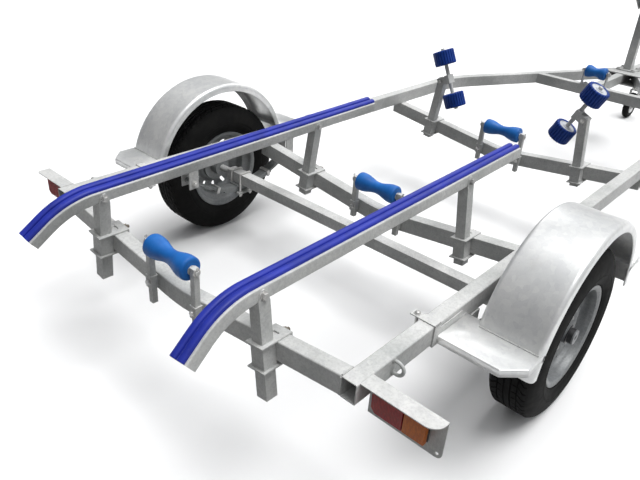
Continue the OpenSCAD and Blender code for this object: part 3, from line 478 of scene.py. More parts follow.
# ---------- tubes and plates of the frame ----------
TUBE_CORNER = 4.5 * MM
for tube in ("left_side_rail", "right_side_rail", "drawbar", "left_skid", "right_skid"):
    soften(tube, zinc, TUBE_CORNER, 3, along(0))
for tube in ("rear_cross_member", "middle_cross_member", "front_cross_member", "nose_cross_member"):
    soften(tube, zinc, TUBE_CORNER, 3, along(1))
for tube in ("skid_posts", "wobble_posts"):
    soften(tube, zinc, 2.5 * MM, 2, along(2))
for plate in ("nose_plates", "chain_lug", "winch_frame", "winch_post", "bow_stop_arms",
              "post_clamps", "keel_sockets", "keel_brackets", "nose_roller_bracket", "axle_beam",
              "spring_hangers", "lamp_brackets", "jockey_bracket", "jockey_tube", "jockey_fork",
              "left_wobble_arm", "right_wobble_arm", "tie_loops"):
    soften(plate, zinc)
soften("coupling", zinc, 2.5 * MM, 3)
soften("leaf_springs", spring_steel)
soften("jockey_leg", bright_zinc)
soften("coupling_lever", black_paint, 2.5 * MM, 3)
soften("jockey_crank", black_paint, 1.5 * MM, 3)
# the wheels take the darker copy of the galvanised coat, which is painted shade
for side in SIDES:
    soften(side + "_wheel", shaded_wheel_zinc, 0.6 * MM, 1)


# ---------- pads ----------
PAD_HALF = 26 * MM
PAD_HIGH = 12 * MM
PAD_GROOVE = 2.5 * MM                # half the width of the channel between the ribs
SKID_HIGH = 40 * MM
SKID_Y = 375 * MM                    # middle of a skid's underside above the rear member
SKID_Z = 590 * MM
SKID_HALF = 33 * MM
SKID_FRONT = 1375 * MM
SKID_REACH = 280 * MM
TIP_ANGLE = math.radians(37)
TIP_RADIUS = 250 * MM
TIP_LEN = 70 * MM
BEND_X = ((TIP_RADIUS + SKID_HIGH + PAD_HIGH) * math.sin(TIP_ANGLE)
          + TIP_LEN * math.cos(TIP_ANGLE) - SKID_REACH)
RIB_FOOT = 4 * MM                    # height at which the ribs' round begins
BEND_STEPS = 14


def pad_line(up):
    """Side view of a line along a skid, a height above its underside, front end first."""
    slope = math.tan(SKID_SLOPE)
    line = [(SKID_FRONT - 0.5 * MM, slope * SKID_FRONT + up), (BEND_X, up + slope * BEND_X)]
    r = TIP_RADIUS + up
    for i in range(1, BEND_STEPS + 1):
        a = TIP_ANGLE * i / BEND_STEPS
        line.append((BEND_X - r * math.sin(a), slope * BEND_X + up - r * (1 - math.cos(a))))
    x, z = line[-1]
    line.append((x - (TIP_LEN - MM) * math.cos(TIP_ANGLE), z - (TIP_LEN - MM) * math.sin(TIP_ANGLE)))
    return line


def pad(side):
    """A strip with two round ribs and a channel between them, bent over the skid's tip."""
    rib = (PAD_HALF - PAD_GROOVE) / 2
    half = [(PAD_GROOVE * 0.6, 3.2 * MM)]
    for i in range(13):
        a = math.pi * (1 - i / 12)
        half.append((PAD_GROOVE + rib + rib * math.cos(a),
                     RIB_FOOT + (PAD_HIGH - RIB_FOOT) * math.sin(a) ** 0.75))
    half += [(PAD_HALF, 1.5 * MM), (PAD_HALF, 0.1 * MM)]
    section = [(-u, v) for u, v in reversed(half)] + half
    place = SIDES[side] @ shift(tail_x, SKID_Y, SKID_Z) @ Matrix.Rotation(DIP, 4, "X")
    lines = [pad_line(SKID_HIGH + v) for u, v in section]
    bm = bmesh.new()
    rings = [[bm.verts.new(place @ Vector((line[k][0], u, line[k][1])))
              for (u, v), line in zip(section, lines)] for k in range(len(lines[0]))]
    skin(bm, rings, False, True, True)
    name = side + "_skid_pad"
    piece(name + "_ribs", bm, pad_blue, body_with(name), (name,), 60)


for side in SIDES:
    pad(side)


# ---------- rollers ----------
def round_end(radius, height, corner, steps=6):
    """A quarter round from the barrel to the end face, for the top end of a roller."""
    return [(radius - corner + corner * math.sin(a), height - corner + corner * math.cos(a))
            for a in (math.pi / 2 * (1 - i / steps) for i in range(steps + 1))]


def mirrored_profile(top):
    """The whole outline of a roller from that of its upper half, lower end first."""
    return [(r, -z) for r, z in reversed(top)] + top


def hourglass(node, end_r, waist_r, length):
    """A smooth waisted roller with rounded ends and a raised boss round its bore."""
    corner = 9 * MM
    bore = KEEL_PIN_R + 0.1 * MM
    end = length / 2 - 1.5 * MM
    steps = 14
    top = []
    for i in range(1, steps):
        t = i / steps
        z = t * (length / 2 - corner)
        swell = 0.5 - 0.5 * math.cos(math.pi * min(1, t / 0.86))
        top.append((waist_r + (end_r - waist_r) * swell, z))
    top += round_end(end_r, end, corner)
    boss = bore + 9 * MM
    top += [(boss + 3 * MM, end), (boss, length / 2), (bore, length / 2)]
    bm = bmesh.new()
    lathe(bm, mirrored_profile(top), aim(joint_at(node + "_spin"), Y_AXIS), closed=True)
    name = node.replace("_keel", "") + "_body"
    piece(name, bm, roller_blue, body_with(node), (node,), 50)


for spot in ("rear", "middle", "front"):
    hourglass(spot + "_keel_roller", 38 * MM, 24 * MM, 196 * MM)
hourglass("bow_roller", 42 * MM, 30 * MM, 76 * MM)
hourglass("nose_roller", 38 * MM, 26 * MM, 130 * MM)

RIBS = 24
WOBBLE_R = 56 * MM
WOBBLE_W = 76 * MM
GROOVE = 4.5 * MM
DISC_DEEP = 8.5 * MM                 # from a wobble roller's end in to its disc's foot
DISC_HIGH = 7 * MM
# a disc's outline outside its boss: (radius, height above its foot)
DISC = mm((19, 7), (20, 5), (22, 3.5), (34, 3.5), (36, 5.5), (39, 5.5), (39.5, 4), (39.5, 0))


def ribbed(turn, radius, height):
    """Grooves along a wobble roller's barrel, with steep sides."""
    if radius < WOBBLE_R - 7 * MM:
        return radius
    wave = 0.5 + 0.5 * math.cos(turn * RIBS)
    depth = min(1, max(0, (wave - 0.62) / 0.22))
    return radius - depth * min(GROOVE, radius - (WOBBLE_R - 8 * MM))


def wobble_roller(side, spot):
    """A ribbed roller with pale discs in its ends, on a tilted spindle."""
    name = side + "_" + spot + "_roller"
    axis = SIDES[side] @ Vector((0, math.cos(WOBBLE_TILT), math.sin(WOBBLE_TILT)))
    place = aim(joint_at(name + "_spin"), axis)
    half = WOBBLE_W / 2
    top = [(WOBBLE_R, z) for z in (14 * MM, 24 * MM)]
    top += round_end(WOBBLE_R, half, 7 * MM, 5)
    dish = WOBBLE_R - 15 * MM
    top += [(dish + 3 * MM, half), (dish, half - 2 * MM), (dish - 1 * MM, half - 9 * MM)]
    top += [(SPINDLE_R + 0.1 * MM, half - 9 * MM)]
    bm = bmesh.new()
    lathe(bm, mirrored_profile(top), place, steps=RIBS * 12, closed=True, shape=ribbed)
    body = body_with(name)
    piece(name + "_barrel", bm, rib_blue, body, (name,), 38)
    bore = SPINDLE_R + 0.2 * MM
    low = half - DISC_DEEP
    disc = [(bore, low), (bore, low + DISC_HIGH)] + [(r, low + z) for r, z in DISC]
    bm = bmesh.new()
    for end in (-1, 1):
        lathe(bm, disc, place @ Matrix.Scale(end, 4, (0, 0, 1)), closed=True)
    piece(name + "_discs", bm, pale_hub, body)


for side in SIDES:
    for spot in ("upper", "lower"):
        wobble_roller(side, spot)


# ---------- tyres and wheels ----------
TYRE_R = node_box("left_tyre")[1].z / 2
LUGS = 60                            # tread blocks round a shoulder
LUG_STEPS = (0, 0.06, 0.16, 0.22, 0.5, 0.75)   # places in one pitch: groove floor, then block
TREAD_DEPTH = 6.5 * MM
TREAD_EDGE = 64 * MM                 # the shoulder lugs end here, from the tyre's middle
LUG_CUT = 4.5 * MM
LUG_SLANT = 0.45                     # radians round the tyre for each metre across it
RIB_MIDDLES = (0, 22, 43)            # millimetres from the tread's middle
RIB_HALF = 8
# (drop from the crown, inset from the side) down the shoulder
SHOULDER = mm((3, 27.5), (6.5, 23), (11, 18.5), (17, 14.5), (24, 11), (26, 9.8), (31, 8.4), (36, 6.2))
# (height over the rim, inset from the side) down the wall, with two raised rings
WALL = mm((74, 3), (60, 0.8), (46, 0), (44, 1.5), (40, 1.5), (38, 0.5), (28, 2), (20, 4.5),
          (14, 8), (10, 9.5), (8, 9.5), (5, 11.5), (2, 17), (-6, 21))


def tyre_section():
    """Half the outer outline from the tread's middle to the bead, then the inner liner."""
    w = TYRE_W / 2
    tread = []
    for centre in RIB_MIDDLES:
        # each rib of the tread, then the groove outside it
        inner = max(0, centre - RIB_HALF) * MM
        tread += [(TYRE_R - inner * 0.03, inner), (TYRE_R - MM, (centre + RIB_HALF) * MM)]
        if centre < RIB_MIDDLES[-1]:
            tread += [(TYRE_R - TREAD_DEPTH, (centre + RIB_HALF + 1) * MM),
                      (TYRE_R - TREAD_DEPTH, (centre + RIB_HALF + 4.5) * MM)]
    sag = [(TYRE_R - drop, w - inset) for drop, inset in SHOULDER]
    wall = [(RIM_R + up, w - inset) for up, inset in WALL]
    inside = [(RIM_R - 12 * MM, w - 30 * MM), (RIM_R + 10 * MM, w - 28 * MM),
              (RIM_R + 50 * MM, w - 12 * MM), (TYRE_R - 26 * MM, w - 24 * MM)]
    return tread[1:] + sag + wall + inside


def tyre(side):
    """A tyre with ribs round its middle and slanting lugs on its shoulders."""
    outline = mirrored_profile(tyre_section())
    place = aim(joint_at(side + "_wheel_spin"), Y_AXIS)
    rings = []
    bm = bmesh.new()
    for lug in range(LUGS):
        for k, step in enumerate(LUG_STEPS):
            turn = math.tau * (lug + step) / LUGS
            ring = []
            for radius, height in outline:
                a = turn + (math.tau / LUGS / 2 if abs(height) < 36 * MM else 0)
                a += height * LUG_SLANT
                on_block = TYRE_R - 9 * MM < radius and 14 * MM < abs(height) < TREAD_EDGE
                cut = on_block and radius > TYRE_R - TREAD_DEPTH + MM and k in (1, 2)
                r = radius - (LUG_CUT if cut else 0)
                ring.append(bm.verts.new(place @ Vector((r * math.cos(a), r * math.sin(a), height))))
            rings.append(ring)
    skin(bm, rings, True, True)
    piece(side + "_tyre_tread", bm, tyre_rubber, side + "_wheel_set", (side + "_tyre",), 32)


NUT_CIRCLE = 57 * MM
DISC_FACE = 18 * MM                  # the wheel disc's outer face, from the wheel's middle
HUB_CAP = mm((0, 50), (33, 50), (33, 53), (26.6, 54), (26.6, 68), (24, 71), (18, 72.6), (8, 73), (0, 73))
NUT_SEAT = mm((0, -2), (13, -2), (11, 3), (0, 3))
VALVE = mm((0, -14), (5, -14), (4, 4), (4.6, 5), (4.6, 14), (3.5, 15.5), (0, 15.5))


def wheel_fittings(side):
    """Hub cap, five wheel nuts and the valve."""
    outward = SIDES[side] @ Y_AXIS
    place = aim(joint_at(side + "_wheel_spin"), outward)
    bm = bmesh.new()
    lathe(bm, HUB_CAP, place)
    piece(side + "_hub_cap", bm, black_paint, side + "_wheel_set")
    bm = bmesh.new()
    for i in range(5):
        a = math.tau * (i + 0.5) / 5
        spot = place @ shift(NUT_CIRCLE * math.cos(a), NUT_CIRCLE * math.sin(a), DISC_FACE)
        lathe(bm, NUT_SEAT, spot, 24)
        hex_head(bm, spot, 19 * MM, 13 * MM, 3 * MM)
        thread(bm, spot, 6 * MM, 12 * MM, 20 * MM)
    lathe(bm, VALVE, place @ shift(0, RIM_R - 36 * MM, 34 * MM), 16)
    piece(side + "_wheel_nuts", bm, bright_zinc, side + "_wheel_set")


for side in SIDES:
    tyre(side)
    wheel_fittings(side)


# ---------- mudguards ----------
ARCH_STEPS = 96
ARCH_ROUND = 17 * MM                 # rounding between the arch's crown and its sides
EDGE_R = 3.2 * MM
STEP_CUT = 56 * MM
STEP_SKIRT = 24 * MM
STEP_IN = half_w + 0.3 * MM
STRAP = 4 * MM                       # thickness of the straps round the rail
STRAP_REACH = 82 * MM                # how far a strap goes inboard of the rail's outer side


def arch_section(width):
    """The arch's sheet cut across, as (radius, height from the inner side)."""
    corner = [(GUARD_R - ARCH_ROUND + ARCH_ROUND * math.cos(a), ARCH_ROUND - ARCH_ROUND * math.sin(a))
              for a in (math.pi / 2 * (1 - i / 7) for i in range(8))]
    outer = [(GUARD_R - GUARD_LIP, 0)] + corner
    crown = [(GUARD_R, width * k) for k in (0.3, 0.5, 0.7)]
    outside = outer + crown + [(r, width - y) for r, y in reversed(outer)]
    inside = [(r - SHEET if ARCH_ROUND < y < width - ARCH_ROUND else r - SHEET * 0.7,
               min(max(y, SHEET), width - SHEET)) for r, y in outside]
    inside[0] = (GUARD_R - GUARD_LIP, SHEET)
    inside[-1] = (GUARD_R - GUARD_LIP, width - SHEET)
    return outside + list(reversed(inside))


def guard_arch(side):
    """A rolled arch over the wheel, with rolled edges."""
    start = math.asin((STEP_Z - GUARD_Z - GUARD_TAIL) / GUARD_R)
    width = guard_high.y - GUARD_IN
    # the arch spins about the axle's direction; the place's z runs from the inner side outwards
    spun = Matrix(((1, 0, 0, guard_mid), (0, 0, 1, GUARD_IN), (0, 1, 0, GUARD_Z), (0, 0, 0, 1)))
    place = SIDES[side] @ spun
    bm = bmesh.new()
    lathe(bm, arch_section(width), place, steps=ARCH_STEPS, arc=(start, math.pi - start), closed=True)
    lip = GUARD_R - GUARD_LIP
    turns = [start + (math.pi - 2 * start) * i / ARCH_STEPS for i in range(ARCH_STEPS + 1)]
    for edge in (EDGE_R, width - EDGE_R):
        rod(bm, [place @ Vector((lip * math.cos(a), lip * math.sin(a), edge)) for a in turns], EDGE_R, 10)
    piece(side + "_guard_arch", bm, sheet_zinc, "frame", (side + "_mudguard",), 50)


def guard_steps(side):
    """The two flat steps: a top with skirts, an upturned inner flange, and a strap round the rail."""
    guard_out = guard_high.y
    ends = [SIDES[side] @ shift(guard_mid) @ Matrix.Diagonal((way, 1, 1, 1)) for way in (-1, 1)]
    inner_end = arch_half - GUARD_LIP + 2 * MM
    rim = [(inner_end, STEP_IN), (guard_reach, STEP_IN), (guard_reach, guard_out - STEP_CUT),
           (guard_reach - STEP_CUT, guard_out), (inner_end, guard_out)]
    bm = bmesh.new()
    for place in ends:
        top = [bm.verts.new(place @ Vector((x, y, STEP_Z))) for x, y in rim]
        foot = [bm.verts.new(place @ Vector((x, y, STEP_Z - STEP_SKIRT))) for x, y in rim]
        faces = [bm.faces.new(top)]
        for k in range(4):
            faces.append(bm.faces.new((top[k], top[k + 1], foot[k + 1], foot[k])))
        bends = [e for e in faces[0].edges if len(e.link_faces) == 2]
        uprights = [e for e in top[1].link_edges[:] + top[2].link_edges[:] + top[3].link_edges[:]
                    if e not in bends and len(e.link_faces) == 2]
        round_edges(bm, bends + uprights, 5 * MM, 3)
    bmesh.ops.recalc_face_normals(bm, faces=bm.faces)
    steps = piece(side + "_guard_steps", bm, sheet_zinc, "frame", (), 50)
    thick = steps.modifiers.new("sheet", "SOLIDIFY")
    thick.thickness = SHEET
    thick.offset = -1
    bm = bmesh.new()
    near = guard_reach - 10 * MM
    far = guard_reach + 20 * MM
    strap_out = half_w + STRAP + 0.5 * MM
    for place in ends:
        block(bm, (arch_half, STEP_IN, STEP_Z - 2 * MM), (guard_reach, STEP_IN + SHEET, STEP_Z + 23 * MM),
              place, 1.2 * MM)
        # the strap is closed by a bolt inboard of the rail
        for z in (rail_top + 0.2 * MM, rail_bottom - STRAP - 0.2 * MM):
            block(bm, (near, half_w - STRAP_REACH, z), (far, strap_out, z + STRAP), place, MM)
        block(bm, (near, half_w + 0.5 * MM, rail_bottom - STRAP - 0.2 * MM),
              (far, strap_out, rail_top + STRAP + 0.2 * MM), place, MM)
    piece(side + "_guard_flanges", bm, zinc, "frame")


for side in SIDES:
    guard_arch(side)
    guard_steps(side)


# ---------- tail lamps ----------
LAMP_LEN = 158 * MM
LAMP_BASE = 5 * MM
LAMP_CUT = 14 * MM                   # the cut lower corner
LENS_INSET = 0.8 * MM
LENS_GAP = 0.4 * MM                  # half the gap between the two colours
LENS_EDGE = 9 * MM                   # plain edge round a lens's fine ribs


def tail_lamp(side):
    """A lens of red and amber on a thin black base. Both lamps are the same way round."""
    low, high = node_box("tail_lamps")
    left_end = high.y if side == "left" else low.y + LAMP_LEN
    split = LAMP_LEN * 0.6
    height = high.z - low.z
    depth = high.x - low.x
    # the place's x runs to the right, its y up, and its z backwards from the bracket
    place = Matrix(((0, 0, -1, high.x), (-1, 0, 0, left_end), (0, 1, 0, low.z), (0, 0, 0, 1)))
    bm = bmesh.new()
    prism(bm, [(LAMP_CUT, 0), (LAMP_LEN, 0), (LAMP_LEN, height), (0, height), (0, LAMP_CUT)],
          0, LAMP_BASE, place, 1.5 * MM)
    piece(side + "_lamp_base", bm, black_paint, "frame",
          ("tail_lamps",) if side == "left" else ())
    edge = LENS_INSET
    top = height - LENS_INSET
    red = [(LAMP_CUT + edge, edge), (split - LENS_GAP, edge), (split - LENS_GAP, top), (edge, top),
           (edge, LAMP_CUT + edge)]
    amber = [(split + LENS_GAP, edge), (LAMP_LEN - edge, edge), (LAMP_LEN - edge, top),
             (split + LENS_GAP, top)]
    for colour, outline, surface in (("red", red, red_lens), ("amber", amber, amber_lens)):
        bm = bmesh.new()
        prism(bm, outline, LAMP_BASE - MM, depth - 1.2 * MM, place, 5 * MM)
        # the lens's fine upright ribs
        first = min(x for x, y in outline) + LENS_EDGE
        last = max(x for x, y in outline) - LENS_EDGE
        count = int((last - first) / (4 * MM))
        for i in range(count):
            x = first + (last - first) * (i + 0.5) / count
            ends = (max(LENS_EDGE, LAMP_CUT + LENS_EDGE - x), height - LENS_EDGE)
            rod(bm, [place @ Vector((x, y, depth - 1.8 * MM)) for y in ends], 1.3 * MM, 8)
        piece(side + "_" + colour + "_lens", bm, surface, "frame")


for side in SIDES:
    tail_lamp(side)


# ---------- jockey wheel ----------
# (drop from the crown, height) over the jockey wheel's tread and down its wall
JOCKEY_TREAD = mm((0, 2), (0, 6), (2, 7.5), (2, 9.5), (0.8, 11), (3, 17), (8, 22), (16, 25), (28, 24))
JOCKEY_SEAT = mm((63, 20), (58, 12))
JOCKEY_RIM = mm((66, 18), (62, 20), (57, 12), (54, 9), (36, 8), (31, 12), (29, 27), (16, 27), (8.1, 26))


def jockey_wheel():
    """A grooved rubber tyre on a pressed rim."""
    place = aim(joint_at("jockey_wheel_spin"), Y_AXIS)
    radius = node_box("jockey_wheel")[1].z / 2
    bm = bmesh.new()
    lathe(bm, mirrored_profile([(radius - drop, z) for drop, z in JOCKEY_TREAD] + JOCKEY_SEAT), place,
          closed=True)
    piece("jockey_wheel_tyre", bm, soft_rubber, "jockey_wheel", ("jockey_wheel",), 45)
    bm = bmesh.new()
    lathe(bm, mirrored_profile(JOCKEY_RIM), place, closed=True)
    piece("jockey_wheel_rim", bm, sheet_zinc, "jockey_wheel")


jockey_wheel()

# ---------- winch ----------
DRUM_TEETH = 36
CRANK_TEETH = 12
TOOTH = 1.7 * MM
BACKLASH = 0.35 * MM
crank = joint_at("winch_handle_turn")
drum = joint_at("winch_drum_turn")
mesh_line = math.atan2(crank.z - drum.z, crank.x - drum.x)
shaft_gap = (crank - drum).length
GEAR_Y = 44 * MM
GEAR_HALF = 4 * MM
FRAME_OUT = 58 * MM                  # the winch frame's outer side
SHAFT_R = 8 * MM
CRANK_Y = -86 * MM                   # the crank arm's middle plane
CRANK_REACH = 184 * MM
CRANK_TURN = math.radians(-30)
GRIP_RINGS = 9
DRUM = mm((0, -64), (8, -64), (8, -34), (35, -34), (36, -33), (35, -32), (20, -30), (20, 30), (35, 32),
          (36, 33), (35, 34), (16, 35), (16, 44), (8, 44), (8, 64), (0, 64))
PAWL_BOSS = mm((0, 0), (9, 0), (9, 9), (5, 9), (5, 14), (0, 14))


def gear(bm, at, teeth, radius, phase):
    """A spur gear whose teeth are a clipped wave, with a bored web."""
    def toothed(turn, r, height):
        if r < radius * 0.8:
            return r
        wave = 1.8 * math.cos(teeth * (turn - phase))
        return r + TOOTH * max(-1, min(0.85, wave))

    profile = [(SHAFT_R, -GEAR_HALF), (radius, -GEAR_HALF), (radius, GEAR_HALF), (SHAFT_R, GEAR_HALF)]
    lathe(bm, profile, aim(at, Y_AXIS), steps=teeth * 10, closed=True, shape=toothed)


def winch_gears():
    """The drum with its large gear, and the crank's shaft, gear, arm and grip."""
    turned = aim((0, 0, 0), Y_AXIS).to_3x3()
    towards = turned.inverted() @ Vector((math.cos(mesh_line), 0, math.sin(mesh_line)))
    phase = math.atan2(towards.y, towards.x)
    small = shaft_gap * CRANK_TEETH / (CRANK_TEETH + DRUM_TEETH)
    gear_side = Vector((0, GEAR_Y, 0))
    bm = bmesh.new()
    gear(bm, drum + gear_side, DRUM_TEETH, shaft_gap - small - BACKLASH, phase)
    lathe(bm, DRUM, aim(drum, Y_AXIS))
    piece("winch_drum_and_gear", bm, bright_zinc, "winch_drum", ("winch_drum",))
    bm = bmesh.new()
    opposite = phase + math.pi + math.pi / CRANK_TEETH
    gear(bm, crank + gear_side, CRANK_TEETH, small - BACKLASH, opposite)
    lathe(bm, mm((0, -87), (8, -87), (8, 88), (0, 88)), aim(crank, Y_AXIS), 32)
    arm = Matrix.Translation(crank + Vector((0, CRANK_Y, 0))) @ Matrix.Rotation(CRANK_TURN, 4, "Y")
    # a flat arm with round ends; the outline lies in the arm's x and z
    flat = arm @ Matrix.Rotation(math.radians(90), 4, "X")
    outline = []
    for x, radius, first in ((0, 14 * MM, math.pi / 2), (CRANK_REACH, 10 * MM, -math.pi / 2)):
        outline += [(x + radius * math.cos(a), radius * math.sin(a))
                    for a in (first + math.pi * i / 12 for i in range(13))]
    prism(bm, outline, -5 * MM, 5 * MM, flat, 1.2 * MM)
    hex_head(bm, aim(arm @ Vector((0, -5 * MM, 0)), -Y_AXIS), 20 * MM, 9 * MM)
    rod(bm, [arm @ Vector((CRANK_REACH, y, 0)) for y in (-6 * MM, -104 * MM)], 6 * MM, 16)
    piece("winch_crank", bm, bright_zinc, "winch_handle", ("winch_handle",))
    profile = [(0, 6), (6, 6), (12, 6), (13.5, 8)]
    for i in range(GRIP_RINGS):
        z = 14 + i * 9
        profile += [(13.2, z), (14.8, z + 2.5), (14.8, z + 5), (13.2, z + 7)]
    profile += [(14, 98), (11, 104), (0, 105)]
    bm = bmesh.new()
    lathe(bm, mm(*profile), aim(arm @ Vector((CRANK_REACH, 0, 0)), -Y_AXIS), 40)
    piece("winch_grip", bm, black_paint, "winch_handle")


def winch_fasteners():
    """The ratchet pawl on its pin through the frame's cheek, the frame's bolts and the drum's nut."""
    bm = bmesh.new()
    pawl = aim(Vector((crank.x - 62 * MM, FRAME_OUT, crank.z + 18 * MM)), Y_AXIS)
    lathe(bm, PAWL_BOSS, pawl, 24)
    block(bm, (-6 * MM, -6 * MM, 2 * MM), (42 * MM, 6 * MM, 8 * MM), pawl, 1.5 * MM)
    foot = node_box("winch_frame")[0].z + 4 * MM
    for y in (-36 * MM, 36 * MM):
        for x in (-22 * MM, 62 * MM):
            bolt_head(bm, aim((drum.x + x, y, foot), Z_AXIS), 10 * MM)
    nut(bm, aim(Vector((drum.x, -64 * MM, drum.z)), -Y_AXIS), 9 * MM, MM)
    piece("winch_fasteners", bm, bright_zinc, "frame")


winch_gears()
winch_fasteners()


# ---------- fasteners and welds of the frame ----------
POST_X = -23 * MM                    # the posts' middle plane, from a member's rear face
POST_OFF = 18.2 * MM                 # how far the skids' posts stand off the skids' middle
CLAMP_TAB_X = CROSS_W - POST_X + 6 * MM
SLEEVE = 4 * MM
ROLLER_HALF = 98.4 * MM              # where a keel roller's inner washers lie
DOMED_HEAD = mm((0, 1.6), (9, 1.6), (9, 5), (7.4, 7.6), (4, 9), (0, 9.4))
FLAT_HEAD = mm((0, 1.6), (9, 1.6), (8.4, 4), (6, 6.4), (3, 7.4), (0, 7.6))

def member_top(y, end_z):
    """Height of a dipped member's top, away from its curved middle."""
    return end_z - math.tan(DIP) * (rail_in - abs(y))


def post_fittings(side, station, y, top_z, skid):
    """A post's bolts, through the skid's ear and the clamp's tab, and the welds of its sleeve."""
    x, end_z = stations[station]
    on_post = SIDES[side] @ shift(x + POST_X, y, top_z) @ Matrix.Rotation(DIP, 4, "X")
    off = 0
    if skid:
        # towards the trailer's right on both sides
        way = 1 if side == "right" else -1
        off = way * POST_OFF
        rise = math.tan(SKID_SLOPE) * (x + POST_X - tail_x)
        ear = on_post @ shift(0, way * (SKID_HALF + EAR + 0.2 * MM), rise + 17 * MM)
        bolt_head(bolts, ear @ aim((0, 0, 0), (0, way, 0)), 12 * MM)
    height = (top_z - member_top(y, end_z)) * math.cos(DIP)
    clamp = on_post @ shift(0, off, -height)
    nut(old_bolts, clamp @ aim((CLAMP_TAB_X, 0, -8 * MM), X_AXIS), 12 * MM, 9 * MM)
    sleeve = STEM_SIDE / 2 + SLEEVE
    for end in (-RAIL_H - 8 * MM, 0):
        weld((-sleeve, -sleeve, end), (-sleeve, sleeve, end), THIN_BEAD, clamp)


for side in SIDES:
    for spot in ("rear", "middle"):
        post_fittings(side, spot, SKID_Y, SKID_Z, True)
    pivot = joint_at("left_wobble_tilt")
    post_fittings(side, "front", pivot.y, pivot.z, False)
    # nuts on the wobble arm's pin
    for way in (-1, 1):
        nut(bolts, SIDES[side] @ Matrix.Translation(pivot) @ aim((way * 27 * MM, 0, 0), (way, 0, 0)),
            10 * MM, -2 * MM)


# the rear member ends at the rails' inner sides
low, high = node_box("rear_cross_member")
for y in (-rail_in, rail_in):
    for x in (low.x, high.x):
        weld((x, y, rail_top - RAIL_H + 4 * MM), (x, y, rail_top - 4 * MM))
    weld((low.x + 4 * MM, y, rail_top), (high.x - 4 * MM, y, rail_top), THIN_BEAD)
# the other two pass under the rails
for member in ("middle_cross_member", "front_cross_member"):
    low, high = node_box(member)
    for way in (-1, 1):
        for x in (low.x, high.x):
            weld((x, way * (rail_in + 2 * MM), rail_bottom), (x, way * (half_w - 2 * MM), rail_bottom))
        weld((low.x, way * rail_in, rail_bottom - MM), (high.x, way * rail_in, rail_bottom - MM))


def keel_fittings(spot):
    """Bolts, pins and welds of one keel roller's bracket."""
    x, end_z = stations[spot]
    middle = joint_at(spot + "_keel_roller_spin")
    stem_y = node_box("keel_brackets")[1].y - 17 * MM
    socket_z = member_top(stem_y, end_z) - 31 * MM
    for way in (-1, 1):
        # round-headed set bolt through the socket
        head = aim((x - 28 * MM, way * stem_y, socket_z), -X_AXIS)
        washer(bolts, head, 11 * MM)
        lathe(bolts, DOMED_HEAD, head, 24)
        for side_y in (-15 * MM, 15 * MM):
            y = way * stem_y + side_y
            weld((x - MM, y, socket_z - 22 * MM), (x - MM, y, socket_z + 22 * MM), THIN_BEAD)
        # washers and a split pin on the roller's pin
        outwards = Vector((0, way, 0))
        washer(bolts, aim(middle + outwards * (stem_y + 10 * MM), outwards), 13 * MM, 2 * MM)
        split = middle + outwards * (stem_y + 14.6 * MM)
        rod(bolts, [split + Z_AXIS * 13 * MM, split - Z_AXIS * 12 * MM], 1.4 * MM, 8)
        eye = bend(split + Z_AXIS * 16 * MM, 3.6 * MM, 0, math.tau, 14, X_AXIS, Z_AXIS)[:-1]
        rod(bolts, eye, 1.3 * MM, 8, closed=True)
        washer(bolts, aim(middle + outwards * ROLLER_HALF, outwards), 15 * MM, 2.4 * MM)


for spot in stations:
    keel_fittings(spot)


SPRING_HALF = 290                    # millimetres from the axle to a shackle bolt
CLIP_AT = 150                        # and to a rebound clip
U_BOLT_X = 30 * MM
U_BOLT_R = 5 * MM
U_BOLT_BEND = 8 * MM
AXLE_HALF = 24 * MM


def spring_fittings(side):
    """U-bolts, their plate and the clips of one leaf spring."""
    axle = joint_at("left_wheel_spin")
    place = SIDES[side] @ shift(axle.x, half_w - 25 * MM)
    leaves_low = node_box("leaf_springs")[0].z
    bend_z = axle.z + AXLE_HALF + U_BOLT_R - U_BOLT_BEND
    for y in (-30 * MM, 30 * MM):
        path = [Vector((-U_BOLT_X, y, leaves_low - 24 * MM)), Vector((-U_BOLT_X, y, axle.z))]
        path += bend(Vector((-U_BOLT_X + U_BOLT_BEND, y, bend_z)), U_BOLT_BEND, math.pi, math.pi / 2, 5,
                     X_AXIS, Z_AXIS)
        path += [Vector((-p.x, p.y, p.z)) for p in reversed(path)]
        rod(bolts, [place @ p for p in path], U_BOLT_R, 12)
        for x in (-U_BOLT_X, U_BOLT_X):
            nut(bolts, place @ aim((x, y, leaves_low - 8 * MM), -Z_AXIS), 10 * MM, 4 * MM)
    block(welds, (-46 * MM, -42 * MM, leaves_low - 8 * MM), (46 * MM, 42 * MM, leaves_low), place, 1.5 * MM)
    # rebound clips round the leaves
    spring_top = axle.z - AXLE_HALF - 8 * MM
    camber = rail_bottom - 62 * MM - spring_top
    share = CLIP_AT / SPRING_HALF
    for way in (-1, 1):
        tilt = math.atan(2 * camber * share / (SPRING_HALF * MM)) * way
        clip = (place @ shift(way * CLIP_AT * MM, 0, spring_top + camber * share ** 2)
                @ Matrix.Rotation(-tilt, 4, "Y"))
        loop = mm((0, -25, 3), (0, 25, 3), (0, 25, -24), (0, -25, -24))
        for k in range(4):
            a, b = Vector(loop[k]), Vector(loop[(k + 1) % 4])
            low = Vector((-8 * MM, min(a.y, b.y) - 1.5 * MM, min(a.z, b.z) - 1.5 * MM))
            high = Vector((8 * MM, max(a.y, b.y) + 1.5 * MM, max(a.z, b.z) + 1.5 * MM))
            block(bolts, low, high, clip, 0.6 * MM)
    # shackle bolts through the hangers
    for way in (-1, 1):
        for out in (-1, 1):
            bolt = aim((way * SPRING_HALF * MM, out * 30 * MM, rail_bottom - 68 * MM), (0, out, 0))
            nut(bolts, place @ bolt, 12 * MM, 4 * MM)


for side in SIDES:
    spring_fittings(side)


